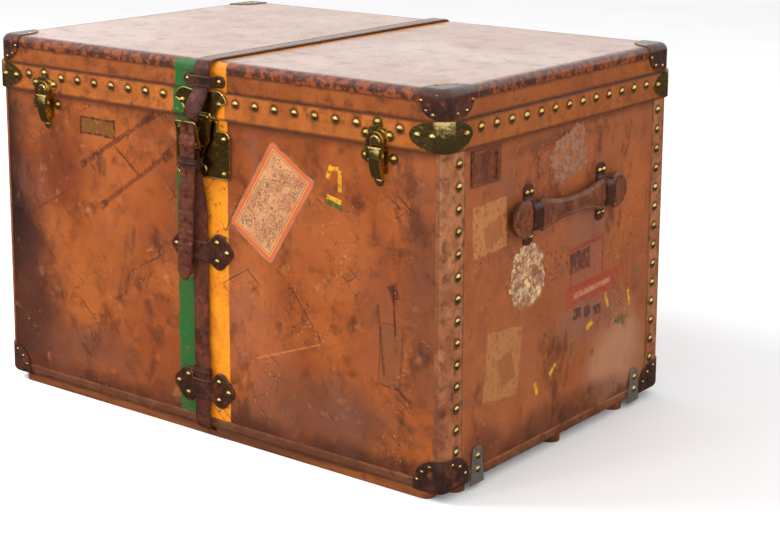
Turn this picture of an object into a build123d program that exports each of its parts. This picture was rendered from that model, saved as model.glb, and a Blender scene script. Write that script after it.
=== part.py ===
"""Steamer trunk: leather over a board carcass, hinged lid, brass hardware and a buckled strap.

Millimetres. +X runs along the front to the right, +Y to the back, +Z up. The origin is on the
floor, under the centre of the leather-covered box.
"""
import os
from math import asin, degrees

from build123d import *

# Overall box, over the leather
LENGTH = 804.0
DEPTH = 546.0
HEIGHT = 524.0
RUNNER_HEIGHT = 12.0
CORNER_RADIUS = 14.0

# Layers of the walls
LEATHER = 3.0
BOARD = 12.0
LINING = 1.0

# Levels above the floor
SEAM = 28.0
RIM = 446.6
LID_EDGE = 447.2
BAND_TOP = 484.0
TOP_SEAM = 509.0
BAND_MIDDLE = 471.5

# Roundings of the bottom and top edges
BASE_EDGE_RADIUS = 7.0
LID_EDGE_RADIUS = 9.0

# Raised layers on the outside of the leather
BINDING_PROUD = 1.0
STRIP_PROUD = 1.2
BAND_PROUD = 4.3
CAP_THICKNESS = 1.6
BRASS_PLATE = 1.4

# Nails
NAIL_RADIUS = 5.0
NAIL_HEIGHT = 3.0
SMALL_NAIL_RADIUS = 2.6
SMALL_NAIL_HEIGHT = 1.6

# Hinges
HINGE_AXIS_Y = DEPTH / 2 + 9.0
HINGE_AXIS_Z = 447.0
KNUCKLE_RADIUS = 4.2
HINGE_PIN_RADIUS = 2.0
HINGE_SPOTS = (-290.0, -105.0, 105.0, 290.0)

# Front hardware
LATCH_X = 303.5
LATCH_PIVOT = (-DEPTH / 2 - 9.5, 443.5)
BAIL_PIVOT = (-DEPTH / 2 - 11.0, 429.5)
PIVOT_PIN_RADIUS = 1.5
RUNNING_FIT = 0.05
HASP_AXIS = (-DEPTH / 2 - 7.4, 450.0)
HASP_X = 5.0
LOCK_CENTRE_Z = 399.0
BARREL_RADIUS = 6.0
BARREL_Z = 377.0

# Strap
STRAP_WIDTH = 27.0
STRAP_THICK = 3.2
LID_STRAP_X = 10.5
BUCKLE_X = -6.0
HEEL = (-DEPTH / 2 - 15.0, 407.0)
TOP_BAR = (-DEPTH / 2 - 25.0, 443.0)
BUCKLE_WIRE = 3.2

# Side handles
HANDLE_Z = 339.0
HANDLE_HALF = 139.0
HANDLE_THICK = 9.0
HANDLE_STANDOFF = 8.0
LOOP_Y = 90.0
LOOP_WIDTH = 22.0

# Tray
TRAY_FLOOR_Z = 362.3
TRAY_TOP_Z = 438.0
TRAY_CLEARANCE = 3.0

HALF_X = LENGTH / 2
HALF_Y = DEPTH / 2
FRONT = -HALF_Y
BACK = HALF_Y
BOARD_X = HALF_X - LEATHER
BOARD_Y = HALF_Y - LEATHER
INNER_X = BOARD_X - BOARD
INNER_Y = BOARD_Y - BOARD
FLOOR_LOW = RUNNER_HEIGHT + LEATHER
FLOOR_TOP = FLOOR_LOW + BOARD
BAND_FRONT = FRONT - BAND_PROUD
BAND_BACK = BACK + BAND_PROUD
TOP_BOARD_HIGH = HEIGHT - LEATHER
BIG = 2 * LENGTH


def slab(half_x, half_y, low, high, radius, mode=Mode.ADD):
    """Upright prism with rounded corners, centred on the trunk."""
    with BuildSketch(Plane.XY.offset(low)) as outline:
        RectangleRounded(2 * half_x, 2 * half_y, radius)
    extrude(outline.sketch, amount=high - low, mode=mode)


def block(x_low, x_high, y_low, y_high, z_low, z_high, mode=Mode.ADD):
    """Box between two opposite corners."""
    centre = ((x_low + x_high) / 2, (y_low + y_high) / 2, (z_low + z_high) / 2)
    with Locations(centre):
        Box(x_high - x_low, y_high - y_low, z_high - z_low, mode=mode)


def ring(proud, thickness, low, high):
    """Wall band round the box: its outside stands proud of the leather face."""
    slab(HALF_X + proud, HALF_Y + proud, low, high, CORNER_RADIUS + proud)
    inner = proud - thickness
    slab(HALF_X + inner, HALF_Y + inner, low, high, CORNER_RADIUS + inner, Mode.SUBTRACT)


def keep_corners(inset_x, inset_y):
    """Leave only the four upright corners of what stands so far."""
    block(-HALF_X + inset_x, HALF_X - inset_x, -BIG, BIG, -BIG, BIG, Mode.SUBTRACT)
    block(-BIG, BIG, -HALF_Y + inset_y, HALF_Y - inset_y, -BIG, BIG, Mode.SUBTRACT)


def mirror_to_four():
    """Repeat the front right piece on the other three corners."""
    mirror(about=Plane.YZ)
    mirror(about=Plane.XZ)


def domes(spots, radius, height):
    """Round nail heads; each spot is a plane on the surface, facing out."""
    ball = (radius**2 + height**2) / (2 * height)
    with Locations(*spots):
        Sphere(ball, arc_size1=degrees(asin((ball - height) / ball)),
               align=(Align.CENTER, Align.CENTER, Align.MIN))


def facing_front(x, z, y):
    return Plane(origin=(x, y, z), x_dir=(1, 0, 0), z_dir=(0, -1, 0))


def facing_back(x, z, y):
    return Plane(origin=(x, y, z), x_dir=(-1, 0, 0), z_dir=(0, 1, 0))


def facing_side(side, y, z, x):
    return Plane(origin=(side * x, y, z), x_dir=(0, side, 0), z_dir=(side, 0, 0))


def rounded_prism(plane, spots, width, height, radius, reach, mode):
    """Rounded rectangles on a plane, pushed through it both ways."""
    with BuildSketch(plane) as outline:
        with Locations(*spots):
            RectangleRounded(width, height, radius)
    extrude(outline.sketch, amount=reach, both=True, mode=mode)


def strap_run(sections):
    """Flat strap through level cross-sections (x, y, z), bottom to top."""
    faces = []
    for x, y, z in sections:
        with BuildSketch(Plane.XY.offset(z)) as section:
            with Locations((x, y)):
                Rectangle(STRAP_WIDTH, STRAP_THICK)
        faces.append(section.sketch)
    loft(faces, ruled=True)


def bar_x(x_low, x_high, y, z, radius, mode=Mode.ADD):
    """Round bar along X."""
    with Locations(Location(((x_low + x_high) / 2, y, z), (0, 90, 0))):
        Cylinder(radius, x_high - x_low, mode=mode)


def write(builder, label):
    builder.part.label = label
    export_step(builder.part, f"parts/{label}.step")


os.makedirs("parts", exist_ok=True)

# ---- Carcass -------------------------------------------------------------------------------

for side, label in ((-1, "front_board"), (1, "back_board")):
    with BuildPart() as long_board:
        outer = side * BOARD_Y
        inner = side * INNER_Y
        block(-BOARD_X, BOARD_X, min(outer, inner), max(outer, inner), FLOOR_TOP, RIM)
        upright = long_board.edges().filter_by(Axis.Z).group_by(Axis.Y)
        fillet(upright[0] if side < 0 else upright[-1], CORNER_RADIUS - LEATHER)
    write(long_board, label)

for side, label in ((-1, "left_board"), (1, "right_board")):
    with BuildPart() as end_board:
        outer = side * BOARD_X
        inner = side * INNER_X
        block(min(outer, inner), max(outer, inner), -INNER_Y, INNER_Y, FLOOR_TOP, RIM)
    write(end_board, label)

with BuildPart() as floor_board:
    slab(BOARD_X, BOARD_Y, FLOOR_LOW, FLOOR_TOP, CORNER_RADIUS - LEATHER)
write(floor_board, "floor_board")

with BuildPart() as body_lining:
    slab(INNER_X, INNER_Y, FLOOR_TOP, RIM - 1, 1)
    slab(INNER_X - LINING, INNER_Y - LINING, FLOOR_TOP + LINING, RIM, 1, Mode.SUBTRACT)
write(body_lining, "body_lining")

# ---- Leather of the body -------------------------------------------------------------------

with BuildPart() as body_leather:
    ring(0, LEATHER, SEAM, RIM)
write(body_leather, "body_leather")

BINDING_RETURN = 34.0
with BuildPart() as base_binding:
    slab(HALF_X + BINDING_PROUD, HALF_Y + BINDING_PROUD, RUNNER_HEIGHT, SEAM,
         CORNER_RADIUS + BINDING_PROUD)
    fillet(base_binding.faces().sort_by(Axis.Z)[0].edges(), BASE_EDGE_RADIUS)
    slab(BOARD_X, BOARD_Y, FLOOR_LOW, SEAM, CORNER_RADIUS - LEATHER, Mode.SUBTRACT)
    slab(HALF_X - BINDING_RETURN, HALF_Y - BINDING_RETURN, RUNNER_HEIGHT, FLOOR_LOW, 5,
         Mode.SUBTRACT)
write(base_binding, "base_binding")

STRIP_ON_SIDE = 42.0
STRIP_ON_FRONT = 12.0
NAIL_FROM_CORNER = 29.0
with BuildPart() as corner_strips:
    ring(STRIP_PROUD, STRIP_PROUD, SEAM, RIM)
    keep_corners(STRIP_ON_FRONT, STRIP_ON_SIDE)
write(corner_strips, "corner_strips")

LOWEST_NAIL = 61.6
SIDE_NAIL_PITCH = 28.4
SIDE_NAIL_COUNT = 14
side_nail_levels = [LOWEST_NAIL + SIDE_NAIL_PITCH * k for k in range(SIDE_NAIL_COUNT)]
with BuildPart() as body_nails:
    domes([facing_side(side, end * (HALF_Y - NAIL_FROM_CORNER), z, HALF_X + STRIP_PROUD)
           for side in (-1, 1) for end in (-1, 1) for z in side_nail_levels],
          NAIL_RADIUS, NAIL_HEIGHT)
write(body_nails, "body_nails")

# ---- Leather caps on the bottom and top corners ----------------------------------------------

CAP_ON_FRONT = 43.0
CAP_ON_SIDE = 58.0
CAP_SWEEP = 36.0
LID_CAP_SWEEP = 26.0
BASE_CAP_TOP = 56.0
cap_inside = STRIP_PROUD + 0.1
cap_outside = cap_inside + CAP_THICKNESS
corner_xy = [(HALF_X, -HALF_Y)]
with BuildPart() as base_envelope:
    slab(HALF_X + cap_inside, HALF_Y + cap_inside, RUNNER_HEIGHT, BASE_CAP_TOP,
         CORNER_RADIUS + cap_inside)
    fillet(base_envelope.faces().sort_by(Axis.Z)[0].edges(), BASE_EDGE_RADIUS + 0.3)

with BuildPart() as base_caps:
    slab(HALF_X + cap_outside, HALF_Y + cap_outside, RUNNER_HEIGHT - CAP_THICKNESS,
         BASE_CAP_TOP, CORNER_RADIUS + cap_outside)
    fillet(base_caps.faces().sort_by(Axis.Z)[0].edges(), BASE_EDGE_RADIUS + 2)
    add(base_envelope.part, mode=Mode.SUBTRACT)
    block(-BIG, HALF_X - CAP_ON_FRONT, -BIG, BIG, -BIG, BIG, Mode.SUBTRACT)
    block(-BIG, BIG, -HALF_Y + CAP_ON_SIDE, BIG, -BIG, BIG, Mode.SUBTRACT)
    cap_rise = BASE_CAP_TOP - RUNNER_HEIGHT
    rounded_prism(Plane.XZ, [(HALF_X, RUNNER_HEIGHT)], 2 * CAP_ON_FRONT, 2 * cap_rise,
                  CAP_SWEEP, BIG, Mode.INTERSECT)
    rounded_prism(Plane.YZ, [(-HALF_Y, RUNNER_HEIGHT)], 2 * CAP_ON_SIDE, 2 * cap_rise,
                  CAP_SWEEP, BIG, Mode.INTERSECT)
    rounded_prism(Plane.XY, corner_xy, 2 * CAP_ON_FRONT, 2 * CAP_ON_SIDE, CAP_SWEEP, BIG,
                  Mode.INTERSECT)
    mirror_to_four()
write(base_caps, "base_caps")

LID_CAP_LOW = 488.5
LID_CAP_ON_FRONT = 39.0
LID_CAP_ON_SIDE = 58.0
lid_cap_inside = 1.1
lid_cap_outside = lid_cap_inside + CAP_THICKNESS
with BuildPart() as lid_envelope:
    slab(HALF_X + lid_cap_inside, HALF_Y + lid_cap_inside, LID_CAP_LOW, HEIGHT,
         CORNER_RADIUS + lid_cap_inside)
    fillet(lid_envelope.faces().sort_by(Axis.Z)[-1].edges(), LID_EDGE_RADIUS + 0.1)

with BuildPart() as lid_caps:
    slab(HALF_X + lid_cap_outside, HALF_Y + lid_cap_outside, LID_CAP_LOW,
         HEIGHT + CAP_THICKNESS, CORNER_RADIUS + lid_cap_outside)
    fillet(lid_caps.faces().sort_by(Axis.Z)[-1].edges(), LID_EDGE_RADIUS + 2)
    add(lid_envelope.part, mode=Mode.SUBTRACT)
    block(-BIG, HALF_X - LID_CAP_ON_FRONT, -BIG, BIG, -BIG, BIG, Mode.SUBTRACT)
    block(-BIG, BIG, -HALF_Y + LID_CAP_ON_SIDE, BIG, -BIG, BIG, Mode.SUBTRACT)
    cap_drop = HEIGHT + CAP_THICKNESS - LID_CAP_LOW
    rounded_prism(Plane.XZ, [(HALF_X, HEIGHT + CAP_THICKNESS)], 2 * LID_CAP_ON_FRONT,
                  2 * cap_drop, LID_CAP_SWEEP, BIG, Mode.INTERSECT)
    rounded_prism(Plane.YZ, [(-HALF_Y, HEIGHT + CAP_THICKNESS)], 2 * LID_CAP_ON_SIDE,
                  2 * cap_drop, LID_CAP_SWEEP, BIG, Mode.INTERSECT)
    rounded_prism(Plane.XY, corner_xy, 2 * LID_CAP_ON_FRONT, 2 * LID_CAP_ON_SIDE,
                  CAP_SWEEP, BIG, Mode.INTERSECT)
    mirror_to_four()
write(lid_caps, "lid_caps")

BASE_CAP_FRONT_NAILS = ((36, 27), (28, 38.5), (16.5, 47))
BASE_CAP_SIDE_NAILS = ((20, 47.5), (36, 41), (48, 29))
with BuildPart() as base_cap_nails:
    domes([facing_front(HALF_X - x, z, -HALF_Y - cap_outside) for x, z in BASE_CAP_FRONT_NAILS]
          + [facing_side(1, -HALF_Y + y, z, HALF_X + cap_outside)
             for y, z in BASE_CAP_SIDE_NAILS],
          SMALL_NAIL_RADIUS, SMALL_NAIL_HEIGHT)
    mirror_to_four()
write(base_cap_nails, "base_cap_nails")

LID_CAP_FRONT_NAILS = ((34.5, 510), (27, 498), (16.5, 493.5))
LID_CAP_SIDE_NAILS = ((22, 494), (41, 496), (53, 508))
LID_CAP_TOP_NAILS = ((20, 50), (29, 40), (33.5, 27))
with BuildPart() as lid_cap_nails:
    domes([facing_front(HALF_X - x, z, -HALF_Y - lid_cap_outside)
           for x, z in LID_CAP_FRONT_NAILS]
          + [facing_side(1, -HALF_Y + y, z, HALF_X + lid_cap_outside)
             for y, z in LID_CAP_SIDE_NAILS]
          + [Plane(origin=(HALF_X - x, -HALF_Y + y, HEIGHT + CAP_THICKNESS))
             for x, y in LID_CAP_TOP_NAILS],
          SMALL_NAIL_RADIUS, SMALL_NAIL_HEIGHT)
    mirror_to_four()
write(lid_cap_nails, "lid_cap_nails")

# ---- Runners and their steel brackets ----------------------------------------------------------

STRAP_NOTCH = STRAP_WIDTH / 2 + 3
FRONT_RUNNER_Y = -256.0
FRONT_RUNNER_HALF = 379.0
RUNNER_WIDTH = 26.0
SLAT_ROWS = (-218.0, 8.0, 174.0)
SLAT_HALF = 396.0
CAP_CLEAR = CAP_THICKNESS + 0.4


def runner(y, half_length, width):
    """Wooden runner with rounded ends and a notch for the strap."""
    with BuildSketch() as outline:
        with Locations((0, y)):
            RectangleRounded(2 * half_length, width, width / 2 - 1)
    extrude(outline.sketch, amount=RUNNER_HEIGHT)
    block(-STRAP_NOTCH, STRAP_NOTCH, y - width, y + width, RUNNER_HEIGHT - 4.2,
          RUNNER_HEIGHT, Mode.SUBTRACT)


with BuildPart() as front_runner:
    runner(FRONT_RUNNER_Y, FRONT_RUNNER_HALF, RUNNER_WIDTH)
    for end in (-1, 1):
        block(min(end * (HALF_X - CAP_ON_FRONT - 1), end * BIG),
              max(end * (HALF_X - CAP_ON_FRONT - 1), end * BIG),
              -BIG, 0, RUNNER_HEIGHT - CAP_CLEAR, RUNNER_HEIGHT, Mode.SUBTRACT)
write(front_runner, "front_runner")

with BuildPart() as base_slats:
    for y in SLAT_ROWS:
        runner(y, SLAT_HALF, RUNNER_WIDTH)
    for end in (-1, 1):
        for y in (-HALF_Y, HALF_Y):
            with Locations((end * HALF_X, y, RUNNER_HEIGHT)):
                Box(2 * CAP_ON_FRONT + 2, 2 * CAP_ON_SIDE + 2, 2 * CAP_CLEAR,
                    mode=Mode.SUBTRACT)
write(base_slats, "base_slats")

BRACKET_SPOTS = (-HALF_Y + 75.0, HALF_Y - 75.0)
BRACKET_WIDTH = 30.0
BRACKET_TOP = 57.0
BRACKET_THICK = 1.8
bracket_face = HALF_X + BINDING_PROUD + 0.1
with BuildPart() as slat_brackets:
    for y in BRACKET_SPOTS:
        with BuildSketch(Plane.YZ.offset(bracket_face)) as plate:
            with BuildLine():
                Polyline((y - BRACKET_WIDTH / 2, RUNNER_HEIGHT - 5),
                         (y + BRACKET_WIDTH / 2, RUNNER_HEIGHT - 5),
                         (y + 9, BRACKET_TOP), (y - 9, BRACKET_TOP), close=True)
            make_face()
            fillet(plate.vertices().group_by(Axis.Y)[-1], 7)
        extrude(plate.sketch, amount=BRACKET_THICK)
    mirror(about=Plane.YZ)
write(slat_brackets, "slat_brackets")

# ---- Lid carcass and leather --------------------------------------------------------------------

with BuildPart() as lid_top_board:
    slab(BOARD_X, BOARD_Y, TOP_SEAM, TOP_BOARD_HIGH, CORNER_RADIUS - LEATHER)
write(lid_top_board, "lid_top_board")

for side, label in ((-1, "lid_front_board"), (1, "lid_back_board")):
    with BuildPart() as lid_long_board:
        outer = side * BOARD_Y
        inner = side * INNER_Y
        block(-BOARD_X, BOARD_X, min(outer, inner), max(outer, inner), LID_EDGE, TOP_SEAM)
        upright = lid_long_board.edges().filter_by(Axis.Z).group_by(Axis.Y)
        fillet(upright[0] if side < 0 else upright[-1], CORNER_RADIUS - LEATHER)
    write(lid_long_board, label)

with BuildPart() as lid_end_boards:
    block(INNER_X, BOARD_X, -INNER_Y, INNER_Y, LID_EDGE, TOP_SEAM)
    mirror(about=Plane.YZ)
write(lid_end_boards, "lid_end_boards")

with BuildPart() as lid_leather_sides:
    ring(0, LEATHER, LID_EDGE, TOP_SEAM)
write(lid_leather_sides, "lid_leather_sides")

with BuildPart() as lid_leather_top:
    slab(HALF_X + 1, HALF_Y + 1, TOP_SEAM, HEIGHT, CORNER_RADIUS + 1)
    fillet(lid_leather_top.faces().sort_by(Axis.Z)[-1].edges(), LID_EDGE_RADIUS)
    slab(BOARD_X, BOARD_Y, TOP_SEAM, TOP_BOARD_HIGH, CORNER_RADIUS - LEATHER, Mode.SUBTRACT)
write(lid_leather_top, "lid_leather_top")

with BuildPart() as lid_lining:
    slab(INNER_X, INNER_Y, LID_EDGE + 1, TOP_SEAM, 1)
    slab(INNER_X - LINING, INNER_Y - LINING, LID_EDGE, TOP_SEAM - LINING, 1, Mode.SUBTRACT)
write(lid_lining, "lid_lining")

with BuildPart() as lid_band:
    ring(BAND_PROUD, BAND_PROUD, LID_EDGE, BAND_TOP)
    outer_rim = lid_band.edges().filter_by(lambda e: e.bounding_box().size.Z < 0.01
                                           and e.center().Z > BAND_TOP - 0.1)
    chamfer(outer_rim.filter_by(lambda e: max(abs(e.center().X) - HALF_X,
                                              abs(e.center().Y) - HALF_Y) > 2), 0.8)
write(lid_band, "lid_band")

BAND_NAIL_FIRST = 66.0
BAND_NAIL_PITCH = 33.9
BAND_NAIL_COUNT = 9
SIDE_BAND_NAILS = 13
SIDE_BAND_REACH = 203.0
BACK_HINGE_CLEAR = 42.0
nail_row = [BAND_NAIL_FIRST + BAND_NAIL_PITCH * k for k in range(BAND_NAIL_COUNT)]
front_nails = [side * x for x in nail_row for side in (-1, 1) if abs(x - LATCH_X) > 10]
back_nails = [side * x for x in nail_row for side in (-1, 1)
              if min(abs(side * x - spot) for spot in HINGE_SPOTS) > BACK_HINGE_CLEAR]
side_band_step = 2 * SIDE_BAND_REACH / (SIDE_BAND_NAILS - 1)
with BuildPart() as lid_band_nails:
    domes([facing_front(x, BAND_MIDDLE, BAND_FRONT) for x in front_nails]
          + [facing_back(x, BAND_MIDDLE, BAND_BACK) for x in back_nails]
          + [facing_side(side, -SIDE_BAND_REACH + side_band_step * k, BAND_MIDDLE,
                         HALF_X + BAND_PROUD)
             for side in (-1, 1) for k in range(SIDE_BAND_NAILS)],
          NAIL_RADIUS, NAIL_HEIGHT)
write(lid_band_nails, "lid_band_nails")

BRASS_REACH = 50.0
BRASS_HALF_HEIGHT = 19.5
BRASS_MIDDLE = 467.5
with BuildPart() as brass_corners:
    ring(BAND_PROUD + BRASS_PLATE, BRASS_PLATE, BRASS_MIDDLE - BRASS_HALF_HEIGHT,
         BRASS_MIDDLE + BRASS_HALF_HEIGHT)
    block(-BIG, HALF_X - BRASS_REACH, -BIG, BIG, -BIG, BIG, Mode.SUBTRACT)
    block(-BIG, BIG, -HALF_Y + BRASS_REACH, BIG, -BIG, BIG, Mode.SUBTRACT)
    for plane, corner in ((Plane.XZ, HALF_X), (Plane.YZ, -HALF_Y)):
        with BuildSketch(plane) as oval:
            with Locations((corner, BRASS_MIDDLE)):
                Ellipse(BRASS_REACH, BRASS_HALF_HEIGHT)
        extrude(oval.sketch, amount=BIG, both=True, mode=Mode.INTERSECT)
    mirror_to_four()
write(brass_corners, "brass_corners")

# ---- Hinges ---------------------------------------------------------------------------------------

LEAF_HALF = 30.0
LEAF_THICK = 2.0
KNUCKLE_SPLIT = 10.0
KNUCKLE_GAP = 0.3
BODY_LEAF_LOW = 400.0
LID_LEAF_TOP = 482.0


def knuckle(x_low, x_high, bore):
    bar_x(x_low, x_high, HINGE_AXIS_Y, HINGE_AXIS_Z, KNUCKLE_RADIUS)
    bar_x(x_low - 1, x_high + 1, HINGE_AXIS_Y, HINGE_AXIS_Z, bore, Mode.SUBTRACT)


with BuildPart() as hinge_body_leaves:
    for spot in HINGE_SPOTS:
        block(spot - LEAF_HALF, spot + LEAF_HALF, BACK, BACK + LEAF_THICK, BODY_LEAF_LOW, RIM - 3)
        for x_low, x_high in ((-LEAF_HALF, -KNUCKLE_SPLIT), (KNUCKLE_SPLIT, LEAF_HALF)):
            block(spot + x_low, spot + x_high, BACK, HINGE_AXIS_Y, RIM - 8, RIM - 3)
            knuckle(spot + x_low, spot + x_high, HINGE_PIN_RADIUS)
write(hinge_body_leaves, "hinge_body_leaves")

with BuildPart() as hinge_lid_leaves:
    for spot in HINGE_SPOTS:
        block(spot - LEAF_HALF, spot + LEAF_HALF, BAND_BACK, BAND_BACK + LEAF_THICK,
              HINGE_AXIS_Z + KNUCKLE_RADIUS + 1, LID_LEAF_TOP)
        tongue = KNUCKLE_SPLIT - KNUCKLE_GAP
        block(spot - tongue, spot + tongue, BAND_BACK, HINGE_AXIS_Y,
              HINGE_AXIS_Z + KNUCKLE_RADIUS - 1, HINGE_AXIS_Z + KNUCKLE_RADIUS + 2)
        knuckle(spot - tongue, spot + tongue, HINGE_PIN_RADIUS + RUNNING_FIT)
write(hinge_lid_leaves, "hinge_lid_leaves")

with BuildPart() as hinge_pins:
    for spot in HINGE_SPOTS:
        bar_x(spot - LEAF_HALF, spot + LEAF_HALF, HINGE_AXIS_Y, HINGE_AXIS_Z, HINGE_PIN_RADIUS)
write(hinge_pins, "hinge_pins")

# ---- Draw latches ------------------------------------------------------------------------------------

LATCH_PLATE = 1.5
LEVER_HALF = 8.0
EAR_IN = 8.3
EAR_OUT = 10.0
BAIL_IN = 10.4
BAIL_OUT = 13.0
NOSE_RADIUS = 9.6
NOSE_Z = 452.5
HOOK_FRONT = BAND_FRONT - LATCH_PLATE
LATCH_FRONT = FRONT - LATCH_PLATE
LEVER_TIP_Z = 405.0
lug_spots = ((-22.0, 432.0), (22.0, 432.0), (0.0, 402.0))
hook_spots = ((-18.5, 461.0), (18.5, 461.0), (0.0, 476.5))


def lobed_plate(centre_x, spots, lobe, middle, y, thickness):
    """Latch plate: a middle field with a round lobe round each nail."""
    with BuildSketch(Plane.XZ.offset(-y)) as outline:
        low, high, half = middle
        with Locations((centre_x, (low + high) / 2)):
            RectangleRounded(2 * half, high - low, 3)
        for x, z in spots:
            with Locations((centre_x + x, z)):
                Circle(lobe)
            with BuildLine():
                Polyline((centre_x + x - 0.6 * lobe, z), (centre_x + x + 0.6 * lobe, z),
                         (centre_x + 0.4 * lobe, (low + high) / 2),
                         (centre_x - 0.4 * lobe, (low + high) / 2), close=True)
            make_face()
    extrude(outline.sketch, amount=thickness)


for side, name in ((-1, "left"), (1, "right")):
    middle = side * LATCH_X

    with BuildPart() as latch_plate:
        lobed_plate(middle, lug_spots, 7.0, (412.0, RIM - 1, 13.5), FRONT, LATCH_PLATE)
        for ear in (-1, 1):
            x_low = middle + min(ear * EAR_IN, ear * EAR_OUT)
            block(x_low, x_low + EAR_OUT - EAR_IN, LATCH_PIVOT[0], FRONT,
                  LATCH_PIVOT[1] - 3.0, LATCH_PIVOT[1] + 3.0)
            bar_x(x_low, x_low + EAR_OUT - EAR_IN, *LATCH_PIVOT, 3.0)
        bar_x(middle - EAR_OUT, middle + EAR_OUT, *LATCH_PIVOT, PIVOT_PIN_RADIUS)
    write(latch_plate, f"latch_plate_{name}")

    with BuildPart() as lever:
        pivot_y, pivot_z = LATCH_PIVOT
        with BuildSketch(Plane.YZ.offset(middle - LEVER_HALF)) as profile:
            with BuildLine():
                outer = ThreePointArc((pivot_y - 3.0, pivot_z), (pivot_y - 3.6, pivot_z - 18),
                                      (FRONT - 6.0, LEVER_TIP_Z))
                Line(outer @ 1, (FRONT - 4.2, LEVER_TIP_Z))
                ThreePointArc((FRONT - 4.2, LEVER_TIP_Z), (FRONT - 7.6, pivot_z - 20),
                              (pivot_y + 2.6, pivot_z - 5.5))
                Line((pivot_y + 2.6, pivot_z - 5.5), (pivot_y + 2.6, pivot_z))
                Line((pivot_y + 2.6, pivot_z), (pivot_y - 3.0, pivot_z))
            make_face()
        extrude(profile.sketch, amount=2 * LEVER_HALF)
        bar_x(middle - LEVER_HALF, middle + LEVER_HALF, pivot_y, pivot_z, 3.0)
        bar_x(middle - LEVER_HALF, middle + LEVER_HALF, *BAIL_PIVOT, 2.4)
        bar_x(middle - BIG, middle + BIG, pivot_y, pivot_z, PIVOT_PIN_RADIUS + RUNNING_FIT,
              Mode.SUBTRACT)
        bar_x(middle - BIG, middle + BIG, *BAIL_PIVOT, PIVOT_PIN_RADIUS - 0.4 + RUNNING_FIT,
              Mode.SUBTRACT)
    write(lever, f"latch_lever_{name}")

    with BuildPart() as bail:
        with BuildSketch(Plane.XZ.offset(-(BAIL_PIVOT[0] + 1.6))) as arch:
            with Locations((middle, NOSE_Z)):
                Circle(BAIL_OUT)
            with Locations((middle, (NOSE_Z + BAIL_PIVOT[1]) / 2 - 1.5)):
                Rectangle(2 * BAIL_OUT, NOSE_Z - BAIL_PIVOT[1] + 3)
            with Locations((middle, NOSE_Z)):
                Circle(BAIL_IN, mode=Mode.SUBTRACT)
            with Locations((middle, NOSE_Z - 25)):
                Rectangle(2 * BAIL_IN, 50, mode=Mode.SUBTRACT)
        extrude(arch.sketch, amount=3.6)
        for arm in (-1, 1):
            x_low = middle + min(arm * (LEVER_HALF - 2.0), arm * BAIL_IN)
            bar_x(x_low, x_low + BAIL_IN - LEVER_HALF + 2.0, *BAIL_PIVOT,
                  PIVOT_PIN_RADIUS - 0.4)
    write(bail, f"latch_bail_{name}")

    with BuildPart() as hook:
        lobed_plate(middle, hook_spots, 7.0, (LID_EDGE + 1, 470.0, 13.5), BAND_FRONT,
                    LATCH_PLATE)
        with BuildSketch(Plane.XZ.offset(-HOOK_FRONT)) as nose:
            with Locations((middle, NOSE_Z)):
                Circle(NOSE_RADIUS)
            with Locations((middle, LID_EDGE + 1 - NOSE_RADIUS)):
                Rectangle(4 * NOSE_RADIUS, 2 * NOSE_RADIUS, mode=Mode.SUBTRACT)
        extrude(nose.sketch, amount=6.5)
        fillet(hook.faces().sort_by(Axis.Y)[0].edges(), 3.0)
    write(hook, f"latch_hook_{name}")

# ---- Lock and hasp --------------------------------------------------------------------------------------

LOCK_WIDTH = 98.0
LOCK_HEIGHT = 66.0
LOCK_THICK = 3.0
LOCK_NECK_HALF = 27.0
LOCK_FRONT = FRONT - LOCK_THICK
lock_top = LOCK_CENTRE_Z + LOCK_HEIGHT / 2
with BuildPart() as lock_plate:
    with BuildSketch(Plane.XZ.offset(-FRONT)) as plate:
        with Locations((HASP_X, LOCK_CENTRE_Z)):
            RectangleRounded(LOCK_WIDTH, LOCK_HEIGHT, 9)
        with Locations((HASP_X, (lock_top + RIM) / 2 - 2.5)):
            Rectangle(2 * LOCK_NECK_HALF, RIM - lock_top + 3)
        with Locations((HASP_X, BARREL_Z)):
            Circle(BARREL_RADIUS, mode=Mode.SUBTRACT)
    extrude(plate.sketch, amount=LOCK_THICK)
    rim = lock_plate.faces().sort_by(Axis.Y)[0].outer_wire().edges()
    fillet(rim, 1.2)
write(lock_plate, "lock_plate")

with BuildPart() as lock_barrel:
    with Locations(facing_front(HASP_X, BARREL_Z, FRONT - 0.2)):
        Cylinder(BARREL_RADIUS - RUNNING_FIT, LOCK_THICK + 1.0,
                 align=(Align.CENTER, Align.CENTER, Align.MIN))
        Box(1.8, 7.0, 2 * LOCK_THICK + 4, mode=Mode.SUBTRACT)
write(lock_barrel, "lock_barrel")

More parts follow.
